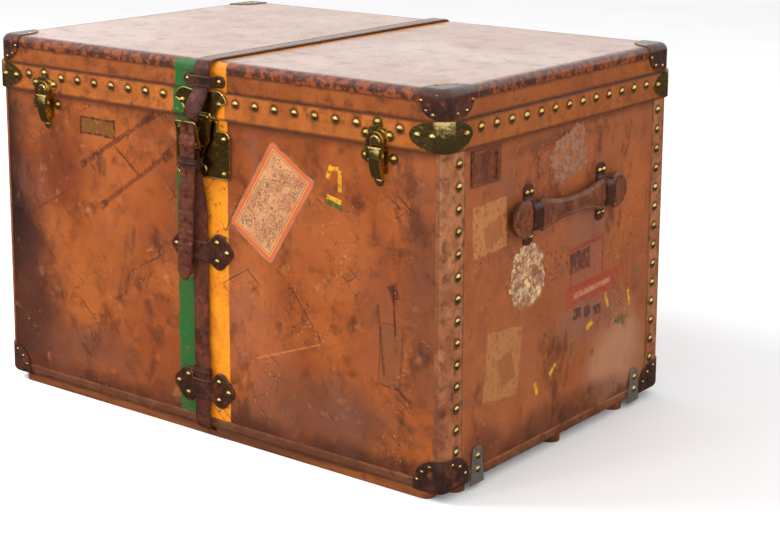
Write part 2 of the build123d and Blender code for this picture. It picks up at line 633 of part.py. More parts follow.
HASP_THICK = 2.0
HASP_KNUCKLE = 2.6
HASP_HALF = 47.0
HASP_LOBE_Z = 470.0
HASP_TOP = 487.0
HASP_NECK_HALF = 28.0
HASP_LOW = 448.6
HASP_PIN = 1.1
LUG_IN, LUG_OUT = 6.0, 16.0
LUG_TOP = 453.4
with BuildPart() as hasp_plate:
    with BuildSketch(Plane.XZ.offset(-BAND_FRONT)) as leaf:
        with BuildLine():
            RadiusArc((HASP_NECK_HALF, HASP_LOW), (HASP_HALF, HASP_LOBE_Z), 24)
            ThreePointArc((HASP_HALF, HASP_LOBE_Z), (42, 481), (29, HASP_TOP))
            Line((29, HASP_TOP), (0, HASP_TOP - 4))
            Line((0, HASP_TOP - 4), (0, HASP_LOW))
            Line((0, HASP_LOW), (HASP_NECK_HALF, HASP_LOW))
        make_face()
        mirror(about=Plane.YZ)
    extrude(leaf.sketch, amount=HASP_THICK)
    block(-LUG_IN, LUG_IN, BAND_FRONT - 2 * HASP_THICK, BAND_FRONT, HASP_LOW, LUG_TOP,
          Mode.SUBTRACT)
    for x_low, x_high in ((-LUG_OUT, -LUG_IN), (LUG_IN, LUG_OUT)):
        block(x_low, x_high, HASP_AXIS[0], BAND_FRONT - 0.4, LUG_TOP - 2.4, LUG_TOP)
        bar_x(x_low, x_high, *HASP_AXIS, HASP_KNUCKLE)
    bar_x(-LUG_OUT, LUG_OUT, *HASP_AXIS, HASP_PIN)
hasp_plate.part = hasp_plate.part.moved(Location((HASP_X, 0, 0)))
write(hasp_plate, "hasp_plate")

TONGUE_TOP = 446.8
TONGUE_TIP = 394.5
TONGUE_HALF = 22.0
with BuildPart() as hasp_tongue:
    with BuildSketch(Plane.XZ.offset(-(HASP_AXIS[0] + 1.0))) as blade:
        with BuildLine():
            Line((0, TONGUE_TOP), (TONGUE_HALF, TONGUE_TOP))
            RadiusArc((TONGUE_HALF, TONGUE_TOP), (17, 418), -70)
            RadiusArc((17, 418), (4, TONGUE_TIP), -60)
            Line((4, TONGUE_TIP), (0, TONGUE_TIP))
            Line((0, TONGUE_TIP), (0, TONGUE_TOP))
        make_face()
        mirror(about=Plane.YZ)
    extrude(blade.sketch, amount=HASP_THICK)
    block(0.3 - LUG_IN, LUG_IN - 0.3, HASP_AXIS[0] - 1.0, HASP_AXIS[0] + 1.0, 446.5, 448.5)
    bar_x(0.3 - LUG_IN, LUG_IN - 0.3, *HASP_AXIS, HASP_KNUCKLE)
    bar_x(-BIG, BIG, *HASP_AXIS, HASP_PIN + RUNNING_FIT, Mode.SUBTRACT)
hasp_tongue.part = hasp_tongue.part.moved(Location((HASP_X, 0, 0)))
write(hasp_tongue, "hasp_tongue")

# ---- Keepers that hold the strap ---------------------------------------------------------------------------

KEEPER_THICK = 3.0
BRIDGE_HALF = 18.5
BRIDGE_LEG = 3.0
BRIDGE_HEIGHT = 14.5
KEEPER_RIVETS = ((28.6, 13.0), (46.5, 1.0), (28.6, -13.0))


def keeper(z, bridge_front, bridge_low, bridge_high):
    """Leather tab with two riveted lobes and a bridge over the strap."""
    with BuildSketch(Plane.XZ.offset(-FRONT)) as lobes:
        with BuildLine():
            Polyline((BRIDGE_HALF - BRIDGE_LEG, z - BRIDGE_HEIGHT), (24, z - 25), (36, z - 25),
                     (56, z - 4), (56, z + 5), (38, z + 25), (24, z + 25),
                     (BRIDGE_HALF - BRIDGE_LEG, z + BRIDGE_HEIGHT), close=True)
        make_face()
        fillet(lobes.vertices().filter_by(lambda v: v.X > 20), 5)
        mirror(about=Plane.YZ)
    extrude(lobes.sketch, amount=KEEPER_THICK)
    for side in (-1, 1):
        low, high = sorted((side * BRIDGE_HALF, side * (BRIDGE_HALF - BRIDGE_LEG)))
        block(low, high, bridge_front, FRONT, bridge_low, bridge_high)
    block(-BRIDGE_HALF, BRIDGE_HALF, bridge_front, bridge_front + BRIDGE_LEG, bridge_low,
          bridge_high)


MID_KEEPER_Z = 265.0
LOW_KEEPER_Z = 69.0
KEEPER_BRIDGE = FRONT - 9.4
for z, label in ((MID_KEEPER_Z, "keeper_mid"), (LOW_KEEPER_Z, "keeper_low")):
    with BuildPart() as tab:
        keeper(z, KEEPER_BRIDGE, z - BRIDGE_HEIGHT, z + BRIDGE_HEIGHT)
    write(tab, label)

TOP_KEEPER_X = 8.0
TOP_KEEPER_Z = 497.5
TOP_KEEPER_HALF = 37.0
TOP_BRIDGE_HALF = 20.0
TOP_KEEPER_RISE = 8.0
TOP_KEEPER_FRONT = FRONT - 14.0
with BuildPart() as keeper_top:
    z_low, z_high = TOP_KEEPER_Z - TOP_KEEPER_RISE, TOP_KEEPER_Z + TOP_KEEPER_RISE
    for side in (-1, 1):
        low, high = sorted((side * (TOP_BRIDGE_HALF - BRIDGE_LEG), side * TOP_KEEPER_HALF))
        block(TOP_KEEPER_X + low, TOP_KEEPER_X + high, FRONT - KEEPER_THICK, FRONT, z_low, z_high)
        low, high = sorted((side * (TOP_BRIDGE_HALF - BRIDGE_LEG), side * TOP_BRIDGE_HALF))
        block(TOP_KEEPER_X + low, TOP_KEEPER_X + high, TOP_KEEPER_FRONT, FRONT, z_low, z_high)
    block(TOP_KEEPER_X - TOP_BRIDGE_HALF, TOP_KEEPER_X + TOP_BRIDGE_HALF, TOP_KEEPER_FRONT,
          TOP_KEEPER_FRONT + BRIDGE_LEG, z_low, z_high)
write(keeper_top, "keeper_top")

# ---- Strap and buckle ---------------------------------------------------------------------------------------

strap_low_y = FRONT - 4.4
strap_base_z = RUNNER_HEIGHT - 0.4 - STRAP_THICK
back_strap_y = BAND_BACK + 0.3
with BuildPart() as strap_lower:
    strap_run([(0, strap_low_y, strap_base_z), (0, strap_low_y, 300.0),
               (-1, FRONT - 7.0, 345.0), (BUCKLE_X, FRONT - 13.0, 385.0),
               (BUCKLE_X, FRONT - 13.0, 403.0)])
    block(-STRAP_WIDTH / 2, STRAP_WIDTH / 2, strap_low_y - STRAP_THICK / 2,
          back_strap_y + STRAP_THICK, strap_base_z, strap_base_z + STRAP_THICK)
    block(-STRAP_WIDTH / 2, STRAP_WIDTH / 2, back_strap_y, back_strap_y + STRAP_THICK,
          strap_base_z, RIM)
write(strap_lower, "strap_lower")

lid_strap_y = FRONT - 8.5
lid_strap_front = lid_strap_y - STRAP_THICK / 2
lid_strap_back = back_strap_y + STRAP_THICK
top_strap_z = HEIGHT + 0.3
with BuildPart() as strap_lid:
    strap_run([(BUCKLE_X + 4, FRONT - 19.0, 447.8), (BUCKLE_X + 8, FRONT - 17.0, 462.0),
               (LID_STRAP_X - 1, lid_strap_y, 486.5),
               (LID_STRAP_X, lid_strap_y, top_strap_z + STRAP_THICK)])
    with BuildSketch(Plane.XY.offset(top_strap_z)) as top_run:
        with BuildLine():
            Polyline((LID_STRAP_X - STRAP_WIDTH / 2, lid_strap_front),
                     (LID_STRAP_X + STRAP_WIDTH / 2, lid_strap_front),
                     (STRAP_WIDTH / 2, lid_strap_back), (-STRAP_WIDTH / 2, lid_strap_back),
                     close=True)
        make_face()
    extrude(top_run.sketch, amount=STRAP_THICK)
    block(-STRAP_WIDTH / 2, STRAP_WIDTH / 2, back_strap_y, lid_strap_back, LID_EDGE,
          top_strap_z + STRAP_THICK)
write(strap_lid, "strap_lid")

PRONG_SLOT = 5.2
with BuildPart() as strap_tail:
    strap_run([(BUCKLE_X - 16, FRONT - 13.5, 221.0), (BUCKLE_X - 11.5, FRONT - 14.5, 300.0),
               (BUCKLE_X - 2, FRONT - 20.2, 380.0), (BUCKLE_X - 1, FRONT - 21.7, 411.0),
               (BUCKLE_X - 1, FRONT - 21.2, 425.0), (BUCKLE_X, FRONT - 20.0, 444.0)])
    block(BUCKLE_X - PRONG_SLOT / 2, BUCKLE_X + PRONG_SLOT / 2, FRONT - 30, FRONT, 422.5, 440.5,
          Mode.SUBTRACT)
    chamfer(strap_tail.edges().filter_by(Axis.Y).group_by(Axis.Z)[0], 9)
write(strap_tail, "strap_tail")

LOOP_LOW = 381.0
LOOP_HIGH = 393.0
with BuildPart() as strap_loop:
    block(BUCKLE_X - 18.5, BUCKLE_X + 18.5, FRONT - 25.4, FRONT - 8.3, LOOP_LOW, LOOP_HIGH)
    block(BUCKLE_X - 16.0, BUCKLE_X + 16.0, FRONT - 23.0, FRONT - 10.6, LOOP_LOW, LOOP_HIGH,
          Mode.SUBTRACT)
write(strap_loop, "strap_loop")

heel_y, heel_z = HEEL
bar_y, bar_z = TOP_BAR
frame_normal = (0, heel_z - bar_z, bar_y - heel_y)
frame_plane = Plane(origin=(BUCKLE_X, (heel_y + bar_y) / 2, (heel_z + bar_z) / 2),
                    x_dir=(1, 0, 0), z_dir=frame_normal)
BUCKLE_OUTER = 38.0
BUCKLE_INNER = 31.0
frame_length = ((bar_y - heel_y) ** 2 + (bar_z - heel_z) ** 2) ** 0.5
with BuildPart() as buckle_frame:
    with BuildSketch(frame_plane) as frame_outline:
        RectangleRounded(BUCKLE_OUTER, frame_length + BUCKLE_WIRE, 4)
        RectangleRounded(BUCKLE_INNER, frame_length - BUCKLE_WIRE, 1.5, mode=Mode.SUBTRACT)
    extrude(frame_outline.sketch, amount=BUCKLE_WIRE / 2, both=True)
write(buckle_frame, "buckle_frame")

PRONG_THICK = 2.6
PRONG_EYE = 3.4
prong_path = ((heel_y, heel_z + PRONG_EYE - 0.8), (FRONT - 15.2, 424.5), (FRONT - 22.8, 434.5),
              (FRONT - 28.3, 439.5), (FRONT - 28.6, 447.0))
with BuildPart() as buckle_prong:
    with BuildSketch(Plane.YZ.offset(BUCKLE_X - PRONG_THICK / 2)) as prong_side:
        with BuildLine():
            Polyline(*prong_path)
        trace(line_width=PRONG_THICK)
    extrude(prong_side.sketch, amount=PRONG_THICK)
    bar_x(BUCKLE_X - 2.5, BUCKLE_X + 2.5, heel_y, heel_z, PRONG_EYE)
    bar_x(BUCKLE_X - 5, BUCKLE_X + 5, heel_y, heel_z, 2.4, Mode.SUBTRACT)
write(buckle_prong, "buckle_prong")

# ---- Right side address frame --------------------------------------------------------------------------------

FRAME_LOW, FRAME_HIGH = 396.0, 442.0
FRAME_FRONT, FRAME_BACK = -219.0, -154.0
with BuildPart() as address_frame:
    block(HALF_X, HALF_X + 2, FRAME_FRONT, FRAME_BACK, FRAME_LOW, FRAME_HIGH)
    block(HALF_X + 0.8, HALF_X + 3, FRAME_FRONT + 5, FRAME_BACK - 9, FRAME_LOW + 5,
          FRAME_HIGH - 6, Mode.SUBTRACT)
write(address_frame, "address_frame")

# ---- Side handles ----------------------------------------------------------------------------------------------

END_RADIUS = 25.0
NECK_HALF = 15.0
SHOULDER_HALF = 22.0
WAIST_HALF = 12.5
neck_out = LOOP_Y + LOOP_WIDTH / 2 + 1.5
neck_in = LOOP_Y - LOOP_WIDTH / 2 - 1.5
for side, name in ((-1, "left"), (1, "right")):
    with BuildPart() as handle:
        with BuildSketch(Plane.YZ.offset(side * (HALF_X + HANDLE_STANDOFF))) as grip:
            with BuildLine():
                Line((neck_in, HANDLE_Z + NECK_HALF), (neck_out, HANDLE_Z + NECK_HALF))
                Line((neck_out, HANDLE_Z + NECK_HALF), (neck_out, HANDLE_Z + END_RADIUS - 2))
                ThreePointArc((neck_out, HANDLE_Z + END_RADIUS - 2), (HANDLE_HALF, HANDLE_Z),
                              (neck_out, HANDLE_Z - END_RADIUS + 2))
                Line((neck_out, HANDLE_Z - END_RADIUS + 2), (neck_out, HANDLE_Z - NECK_HALF))
                Line((neck_out, HANDLE_Z - NECK_HALF), (neck_in, HANDLE_Z - NECK_HALF))
                Line((neck_in, HANDLE_Z - NECK_HALF), (neck_in, HANDLE_Z - SHOULDER_HALF))
                ThreePointArc((neck_in, HANDLE_Z - SHOULDER_HALF), (0, HANDLE_Z - WAIST_HALF),
                              (-neck_in, HANDLE_Z - SHOULDER_HALF))
                Line((-neck_in, HANDLE_Z - SHOULDER_HALF), (-neck_in, HANDLE_Z - NECK_HALF))
                Line((-neck_in, HANDLE_Z - NECK_HALF), (-neck_out, HANDLE_Z - NECK_HALF))
                Line((-neck_out, HANDLE_Z - NECK_HALF), (-neck_out, HANDLE_Z - END_RADIUS + 2))
                ThreePointArc((-neck_out, HANDLE_Z - END_RADIUS + 2), (-HANDLE_HALF, HANDLE_Z),
                              (-neck_out, HANDLE_Z + END_RADIUS - 2))
                Line((-neck_out, HANDLE_Z + END_RADIUS - 2), (-neck_out, HANDLE_Z + NECK_HALF))
                Line((-neck_out, HANDLE_Z + NECK_HALF), (-neck_in, HANDLE_Z + NECK_HALF))
                Line((-neck_in, HANDLE_Z + NECK_HALF), (-neck_in, HANDLE_Z + SHOULDER_HALF))
                ThreePointArc((-neck_in, HANDLE_Z + SHOULDER_HALF), (0, HANDLE_Z + WAIST_HALF),
                              (neck_in, HANDLE_Z + SHOULDER_HALF))
                Line((neck_in, HANDLE_Z + SHOULDER_HALF), (neck_in, HANDLE_Z + NECK_HALF))
            make_face()
        extrude(grip.sketch, amount=side * HANDLE_THICK)
    write(handle, f"handle_{name}")

LOOP_LEATHER = 2.6
LOOP_INNER_HALF = NECK_HALF + 0.8
LOOP_FOOT = 40.0
loop_face = HALF_X + HANDLE_STANDOFF + HANDLE_THICK + 0.6
with BuildPart() as handle_loops:
    for y in (-LOOP_Y, LOOP_Y):
        y_low, y_high = y - LOOP_WIDTH / 2, y + LOOP_WIDTH / 2
        half = LOOP_INNER_HALF + LOOP_LEATHER
        block(loop_face, loop_face + LOOP_LEATHER, y_low, y_high, HANDLE_Z - half,
              HANDLE_Z + half)
        for end in (-1, 1):
            low, high = sorted((HANDLE_Z + end * LOOP_INNER_HALF, HANDLE_Z + end * half))
            block(HALF_X, loop_face + LOOP_LEATHER, y_low, y_high, low, high)
            low, high = sorted((HANDLE_Z + end * LOOP_INNER_HALF, HANDLE_Z + end * LOOP_FOOT))
            block(HALF_X, HALF_X + LOOP_LEATHER, y_low, y_high, low, high)
    mirror(about=Plane.YZ)
write(handle_loops, "handle_loops")

# ---- Rivets ------------------------------------------------------------------------------------------------------

LOOP_RIVET_Z = 30.0
LOOP_RIVET_Y = 5.4
body_rivet_spots = [facing_front(side * LATCH_X + x, z, LATCH_FRONT)
                    for side in (-1, 1) for x, z in lug_spots]
body_rivet_spots += [facing_front(HASP_X + x, LOCK_CENTRE_Z + dz, LOCK_FRONT)
                     for x in (-38, 38) for dz in (-25, 22)]
body_rivet_spots += [facing_front(side * x, z + dz, FRONT - KEEPER_THICK)
                     for z in (MID_KEEPER_Z, LOW_KEEPER_Z) for side in (-1, 1)
                     for x, dz in KEEPER_RIVETS]
body_rivet_spots += [facing_side(side, y, z, bracket_face + BRACKET_THICK)
                     for side in (-1, 1) for y in BRACKET_SPOTS for z in (26.0, 44.0)]
with BuildPart() as body_rivets:
    domes(body_rivet_spots, NAIL_RADIUS - 0.6, NAIL_HEIGHT - 0.2)
    domes([facing_side(side, y + dy, HANDLE_Z + end * LOOP_RIVET_Z, HALF_X + LOOP_LEATHER)
           for side in (-1, 1) for y in (-LOOP_Y, LOOP_Y) for dy in (-LOOP_RIVET_Y, LOOP_RIVET_Y)
           for end in (-1, 1)], NAIL_RADIUS - 1, NAIL_HEIGHT)
write(body_rivets, "body_rivets")

brass_face_y = BAND_FRONT - BRASS_PLATE
brass_face_x = HALF_X + BAND_PROUD + BRASS_PLATE
lid_rivet_spots = [facing_front(side * LATCH_X + x, z, HOOK_FRONT)
                   for side in (-1, 1) for x, z in hook_spots]
lid_rivet_spots += [facing_front(HASP_X + x, 468.0, BAND_FRONT - HASP_THICK)
                    for x in (-33.5, 33.5)]
lid_rivet_spots += [facing_front(TOP_KEEPER_X + x, TOP_KEEPER_Z, FRONT - KEEPER_THICK)
                    for x in (-28, 28)]
for side in (-1, 1):
    for inset in (38.0, 15.0):
        lid_rivet_spots.append(facing_front(side * (HALF_X - inset), BRASS_MIDDLE, brass_face_y))
        lid_rivet_spots.append(facing_back(side * (HALF_X - inset), BRASS_MIDDLE, -brass_face_y))
    for end in (-1, 1):
        lid_rivet_spots.append(facing_side(side, end * (HALF_Y - 38.0), BRASS_MIDDLE,
                                           brass_face_x))
with BuildPart() as lid_rivets:
    domes(lid_rivet_spots, NAIL_RADIUS - 0.6, NAIL_HEIGHT - 0.2)
write(lid_rivets, "lid_rivets")

# ---- Inside ---------------------------------------------------------------------------------------------------------

LEDGE = 12.0
LEDGE_HALF = 240.0
with BuildPart() as tray_ledges:
    ledge_x = INNER_X - LINING
    block(ledge_x - LEDGE, ledge_x, -LEDGE_HALF, LEDGE_HALF, TRAY_FLOOR_Z - 0.3 - LEDGE,
          TRAY_FLOOR_Z - 0.3)
    mirror(about=Plane.YZ)
write(tray_ledges, "tray_ledges")

TRAY_WALL = 7.0
tray_x = INNER_X - LINING - TRAY_CLEARANCE
tray_y = INNER_Y - LINING - TRAY_CLEARANCE
with BuildPart() as tray:
    slab(tray_x, tray_y, TRAY_FLOOR_Z, TRAY_TOP_Z, 4)
    slab(tray_x - TRAY_WALL, tray_y - TRAY_WALL, TRAY_FLOOR_Z + TRAY_WALL, TRAY_TOP_Z, 2,
         Mode.SUBTRACT)
write(tray, "tray")

with BuildPart() as tray_pulls:
    for y in (-90.0, 90.0):
        block(tray_x - TRAY_WALL - 2.5, tray_x - TRAY_WALL, y - 12, y + 12,
              TRAY_FLOOR_Z + TRAY_WALL + 8, TRAY_TOP_Z + 2)
    mirror(about=Plane.YZ)
write(tray_pulls, "tray_pulls")
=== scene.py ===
"""Steamer trunk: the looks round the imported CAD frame, in metres and in the frame's own axes."""
import math
import random

import bmesh
import bpy
import numpy as np
from mathutils import Matrix, Vector


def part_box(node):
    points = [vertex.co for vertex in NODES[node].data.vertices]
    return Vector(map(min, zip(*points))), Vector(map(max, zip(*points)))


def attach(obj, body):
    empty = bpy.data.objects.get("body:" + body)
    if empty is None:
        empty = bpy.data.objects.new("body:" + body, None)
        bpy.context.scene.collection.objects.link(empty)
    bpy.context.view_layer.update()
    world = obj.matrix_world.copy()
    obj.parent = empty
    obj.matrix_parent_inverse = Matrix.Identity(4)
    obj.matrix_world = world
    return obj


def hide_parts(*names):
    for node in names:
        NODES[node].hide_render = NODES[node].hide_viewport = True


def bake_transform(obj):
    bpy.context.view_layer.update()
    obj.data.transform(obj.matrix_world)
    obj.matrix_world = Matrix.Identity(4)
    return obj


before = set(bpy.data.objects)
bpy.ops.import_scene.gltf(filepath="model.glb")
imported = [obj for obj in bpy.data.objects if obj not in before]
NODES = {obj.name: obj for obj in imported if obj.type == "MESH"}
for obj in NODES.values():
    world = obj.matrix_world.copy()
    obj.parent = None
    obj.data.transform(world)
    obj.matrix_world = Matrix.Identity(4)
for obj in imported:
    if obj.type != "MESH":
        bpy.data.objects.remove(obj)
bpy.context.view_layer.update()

MM = 0.001
random.seed(11)

# Faces of the leather box, from the frame
LOW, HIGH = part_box("body_leather")
RIGHT, FRONT, BACK = HIGH.x, LOW.y, HIGH.y
SEAM, RIM = LOW.z, HIGH.z
LID_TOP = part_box("lid_leather_top")[1].z
TOP_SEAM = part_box("lid_leather_top")[0].z
BAND_LOW, BAND_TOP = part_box("lid_band")[0].z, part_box("lid_band")[1].z
BAND_MIDDLE = 471.5 * MM
STRIPE = 47 * MM

# ---- Materials: a small builder for node trees -----------


def tone(red, green, blue):
    """Linear colour of a screen colour given as 0 to 255."""
    linear = [(c / 255 / 12.92) if c < 11 else ((c / 255 + 0.055) / 1.055) ** 2.4
              for c in (red, green, blue)]
    return (*linear, 1.0)


class Nodes:
    """A node tree being made: each method adds nodes and gives back the output to use next."""

    def __init__(self, owner):
        owner.use_nodes = True
        self.tree = owner.node_tree
        self.tree.nodes.clear()

    def node(self, kind, *inputs, **settings):
        made = self.tree.nodes.new(kind)
        for key, value in settings.items():
            setattr(made, key, value)
        for socket, value in inputs:
            self.feed(made.inputs[socket], value)
        return made

    def feed(self, socket, value):
        if isinstance(value, bpy.types.NodeSocket):
            self.tree.links.new(value, socket)
        else:
            socket.default_value = value

    def split(self, vector):
        return self.node("ShaderNodeSeparateXYZ", (0, vector)).outputs

    def math(self, operation, a, b=0.0, c=0.0):
        return self.node("ShaderNodeMath", (0, a), (1, b), (2, c), operation=operation).outputs[0]


class Finish(Nodes):
    """A material on the object's own coordinates."""

    def __init__(self, name):
        self.material = bpy.data.materials.new(name)
        super().__init__(self.material)
        self.shader = self.node("ShaderNodeBsdfPrincipled")
        self.node("ShaderNodeOutputMaterial", (0, self.shader.outputs[0]))
        coordinates = self.node("ShaderNodeTexCoord")
        self.place = coordinates.outputs["Object"]
        self.x, self.y, self.z = self.split(self.place)
        self.facing_x, self.facing_y, self.facing_z = self.split(coordinates.outputs["Normal"])

    def times(self, a, b):
        return self.math("MULTIPLY", a, b)

    def minus(self, a, b):
        return self.math("SUBTRACT", a, b)

    def absolute(self, a):
        return self.math("ABSOLUTE", a)

    def distance(self, u, v):
        return self.math("SQRT", self.math("ADD", self.times(u, u), self.times(v, v)))

    def stretched(self, scale, turn=(0, 0, 0)):
        if scale is None:
            return self.place
        turned = self.node("ShaderNodeMapping", (0, self.place), (2, turn)).outputs[0]
        return self.node("ShaderNodeMapping", (0, turned), (3, scale)).outputs[0]

    def noise(self, scale, detail=3.0, rough=0.55, stretch=None, turn=(0, 0, 0), warp=0.0):
        return self.node("ShaderNodeTexNoise", ("Vector", self.stretched(stretch, turn)),
                         ("Scale", scale), ("Detail", detail), ("Roughness", rough),
                         ("Distortion", warp)).outputs[0]

    def cells(self, scale, warp):
        """Distance to the edges of bent cells, as in cracked or wrinkled leather."""
        wobble = self.node("ShaderNodeTexNoise", ("Vector", self.place), ("Scale", scale * 0.7),
                           ("Detail", 2.0)).outputs[1]
        wobble = self.node("ShaderNodeVectorMath", (0, wobble), (3, warp),
                           operation="SCALE").outputs[0]
        vector = self.node("ShaderNodeVectorMath", (0, self.place), (1, wobble)).outputs[0]
        return self.node("ShaderNodeTexVoronoi", ("Vector", vector), ("Scale", scale),
                         feature="DISTANCE_TO_EDGE").outputs[0]

    def ramp(self, value, start, end, low=0.0, high=1.0):
        """Smooth step from low to high as value goes from start to end."""
        return self.node("ShaderNodeMapRange", ("Value", value), ("From Min", start),
                         ("From Max", end), ("To Min", low), ("To Max", high),
                         interpolation_type="SMOOTHSTEP").outputs[0]

    def between(self, value, low, high, soft=0.0008):
        """1 where value lies between low and high."""
        rise = self.ramp(value, low - soft, low + soft)
        fall = self.ramp(value, high + soft, high - soft)
        return self.times(rise, fall)

    def both(self, *masks):
        result = masks[0]
        for mask in masks[1:]:
            result = self.times(result, mask)
        return result

    def either(self, *masks):
        result = masks[0]
        for mask in masks[1:]:
            result = self.math("MAXIMUM", result, mask)
        return result

    def mix(self, amount, a, b):
        return self.node("ShaderNodeMix", (0, amount), (6, a), (7, b),
                         data_type="RGBA").outputs[2]

    def stain(self, colour, mask, shade, strength=1.0):
        """The colour so far with another, in screen tones, laid over it through a mask."""
        if strength < 1.0:
            mask = self.times(mask, strength)
        return self.mix(mask, colour, tone(*shade))

    def gloss(self, scale, detail, low, high):
        """Cloudy roughness between two values."""
        return self.ramp(self.noise(scale, detail, 0.7), 0.3, 0.75, low, high)

    def patch(self, along, across, centre, radii, ragged):
        """Soft spot on a face: 1 in the middle, 0 outside, with a ragged edge."""
        u = self.math("DIVIDE", self.minus(along, centre[0]), radii[0])
        v = self.math("DIVIDE", self.minus(across, centre[1]), radii[1])
        far = self.math("ADD", self.distance(u, v), self.times(self.minus(ragged, 0.5), 1.2))
        return self.ramp(far, 1.0, 0.2)

    def bump(self, height, distance, under=None):
        made = self.node("ShaderNodeBump", ("Height", height), ("Distance", distance))
        if under is not None:
            self.feed(made.inputs["Normal"], under)
        return made.outputs[0]

    def leather(self, colour, normal, gloss, coat, specular=0.5):
        """Finish of polished leather: cloudy gloss under a thin coat."""
        return self.done(colour, self.gloss(*gloss), normal, Specular_IOR_Level=specular,
                         Coat_Weight=coat[0], Coat_Roughness=coat[1])

    def done(self, colour, roughness, normal=None, **fixed):
        self.feed(self.shader.inputs["Base Color"], colour)
        self.feed(self.shader.inputs["Roughness"], roughness)
        if normal is not None:
            self.feed(self.shader.inputs["Normal"], normal)
        for key, value in fixed.items():
            self.shader.inputs[key.replace("_", " ")].default_value = value
        return self.material


# ---- Leather ---------------------------------------------

NAIL_PITCH = 33.9 * MM
NAIL_FIRST = 66 * MM
SIDE_NAIL_PITCH = 28.4 * MM
SIDE_NAIL_LOW = 61.6 * MM
SIDE_NAIL_INSET = 29 * MM
END_NAIL_PITCH = 406 / 12 * MM


def nail_ring_dirt_and_shade(f, along, first, pitch, across, row):
    """Dark ring that a row of nails leaves in the leather: dirt, and painted shade in the dimple
    each nail presses in.
    """
    offset = f.minus(along, first)
    near = f.math("WRAP", offset, pitch / 2, -pitch / 2)
    return f.ramp(f.distance(near, f.minus(across, row)), 9.5 * MM, 5.2 * MM)


def scratches(f, turn, scale, amount):
    """Thin straight streaks, in one direction."""
    streak = f.noise(scale, 1.0, stretch=(1.0, 1.0, 0.045), turn=turn)
    where = f.noise(14, 2.0)
    return f.both(f.ramp(streak, amount, amount + 0.05), f.ramp(where, 0.52, 0.62))


def hide_relief(f, depth=1.0):
    """Pores, small wrinkles and dents of old cowhide."""
    pores = f.noise(1500, 2.0)
    wrinkles = f.cells(240, 0.5)
    dents = f.noise(55, 4.0)
    normal = f.bump(pores, 0.00012 * depth)
    normal = f.bump(f.ramp(wrinkles, 0.0, 0.16), 0.00010 * depth, normal)
    return f.bump(dents, 0.0011 * depth, normal)


def aged(f, dark, middle, light, scale=7.0):
    """Cloudy tan colour: broad clouds, mottling and grain."""
    clouds = f.noise(scale, 6.0, 0.6, warp=0.6)
    mottle = f.noise(scale * 5, 6.0, 0.68, warp=0.4)
    grain = f.noise(700, 3.0, 0.7)
    colour = f.mix(f.ramp(clouds, 0.34, 0.66), middle, light)
    colour = f.mix(f.ramp(mottle, 0.46, 0.70, 0.0, 0.75), colour, dark)
    return f.mix(f.ramp(grain, 0.45, 0.75, 0.0, 0.28), colour, dark)


def worn_paint(f, colour, mask, paint, shade):
    """A painted area with chips and rubbed spots that show the leather."""
    chips = f.noise(95, 9.0, 0.72)
    rubbed = f.noise(16, 3.0)
    tired = f.mix(f.ramp(f.noise(42, 5.0, 0.7), 0.4, 0.75), paint, shade)
    holding = f.math("ADD", chips, f.times(f.minus(rubbed, 0.5), 0.5))
    return f.mix(f.both(mask, f.ramp(holding, 0.63, 0.57)), colour, tired)


GREEN, GREEN_WORN = tone(24, 96, 36), tone(62, 84, 34)
YELLOW, YELLOW_WORN = tone(232, 140, 2), tone(196, 104, 10)


def stripes(f, colour):
    """Green and yellow stripes painted down the middle of the front."""
    front = f.ramp(f.y, FRONT + 8 * MM, FRONT + 4 * MM)
    wander = f.times(f.minus(f.noise(18, 2.0), 0.5), 5 * MM)
    across = f.math("ADD", f.x, wander)
    green = f.both(front, f.between(across, -STRIPE, 0.0))
    yellow = f.both(front, f.between(across, 0.0, STRIPE))
    colour = worn_paint(f, colour, green, GREEN, GREEN_WORN)
    return worn_paint(f, colour, yellow, YELLOW, YELLOW_WORN)


# Front: centre x, z, half width, half height in millimetres, colour, strength
FRONT_PATCHES = (
    (-405, 250, 110, 330, (34, 15, 8), 0.97),
    (-340, 120, 100, 150, (72, 34, 20), 0.9),
    (-290, 340, 110, 90, (104, 40, 4), 0.75),
    (-200, 210, 100, 80, (150, 74, 14), 0.6),
    (-110, 330, 70, 90, (158, 76, 18), 0.6),
    (-230, 80, 130, 60, (112, 60, 38), 0.85),
    (90, 180, 70, 190, (172, 92, 42), 0.6),
    (180, 330, 130, 80, (160, 82, 32), 0.6),
    (230, 80, 170, 70, (104, 58, 38), 0.85),
    (310, 230, 70, 110, (134, 72, 40), 0.6),
    (370, 260, 46, 220, (108, 58, 34), 0.8),
    (20, 50, 140, 40, (98, 52, 30), 0.7),
)
# Right end: centre y, z, half width, half height in millimetres, colour, strength
END_PATCHES = (
    (-150, 400, 90, 40, (140, 76, 40), 0.7),
    (-120, 150, 110, 90, (150, 88, 50), 0.6),
    (60, 300, 90, 60, (142, 88, 64), 0.6),
    (150, 90, 120, 80, (176, 124, 92), 0.8),
    (60, 170, 110, 70, (134, 90, 70), 0.7),
    (170, 330, 70, 90, (168, 88, 34), 0.7),
    (-190, 60, 60, 40, (92, 46, 28), 0.7),
    (0, 50, 200, 26, (98, 50, 30), 0.6),
    (0, 427, 200, 14, (96, 48, 26), 0.6),
)
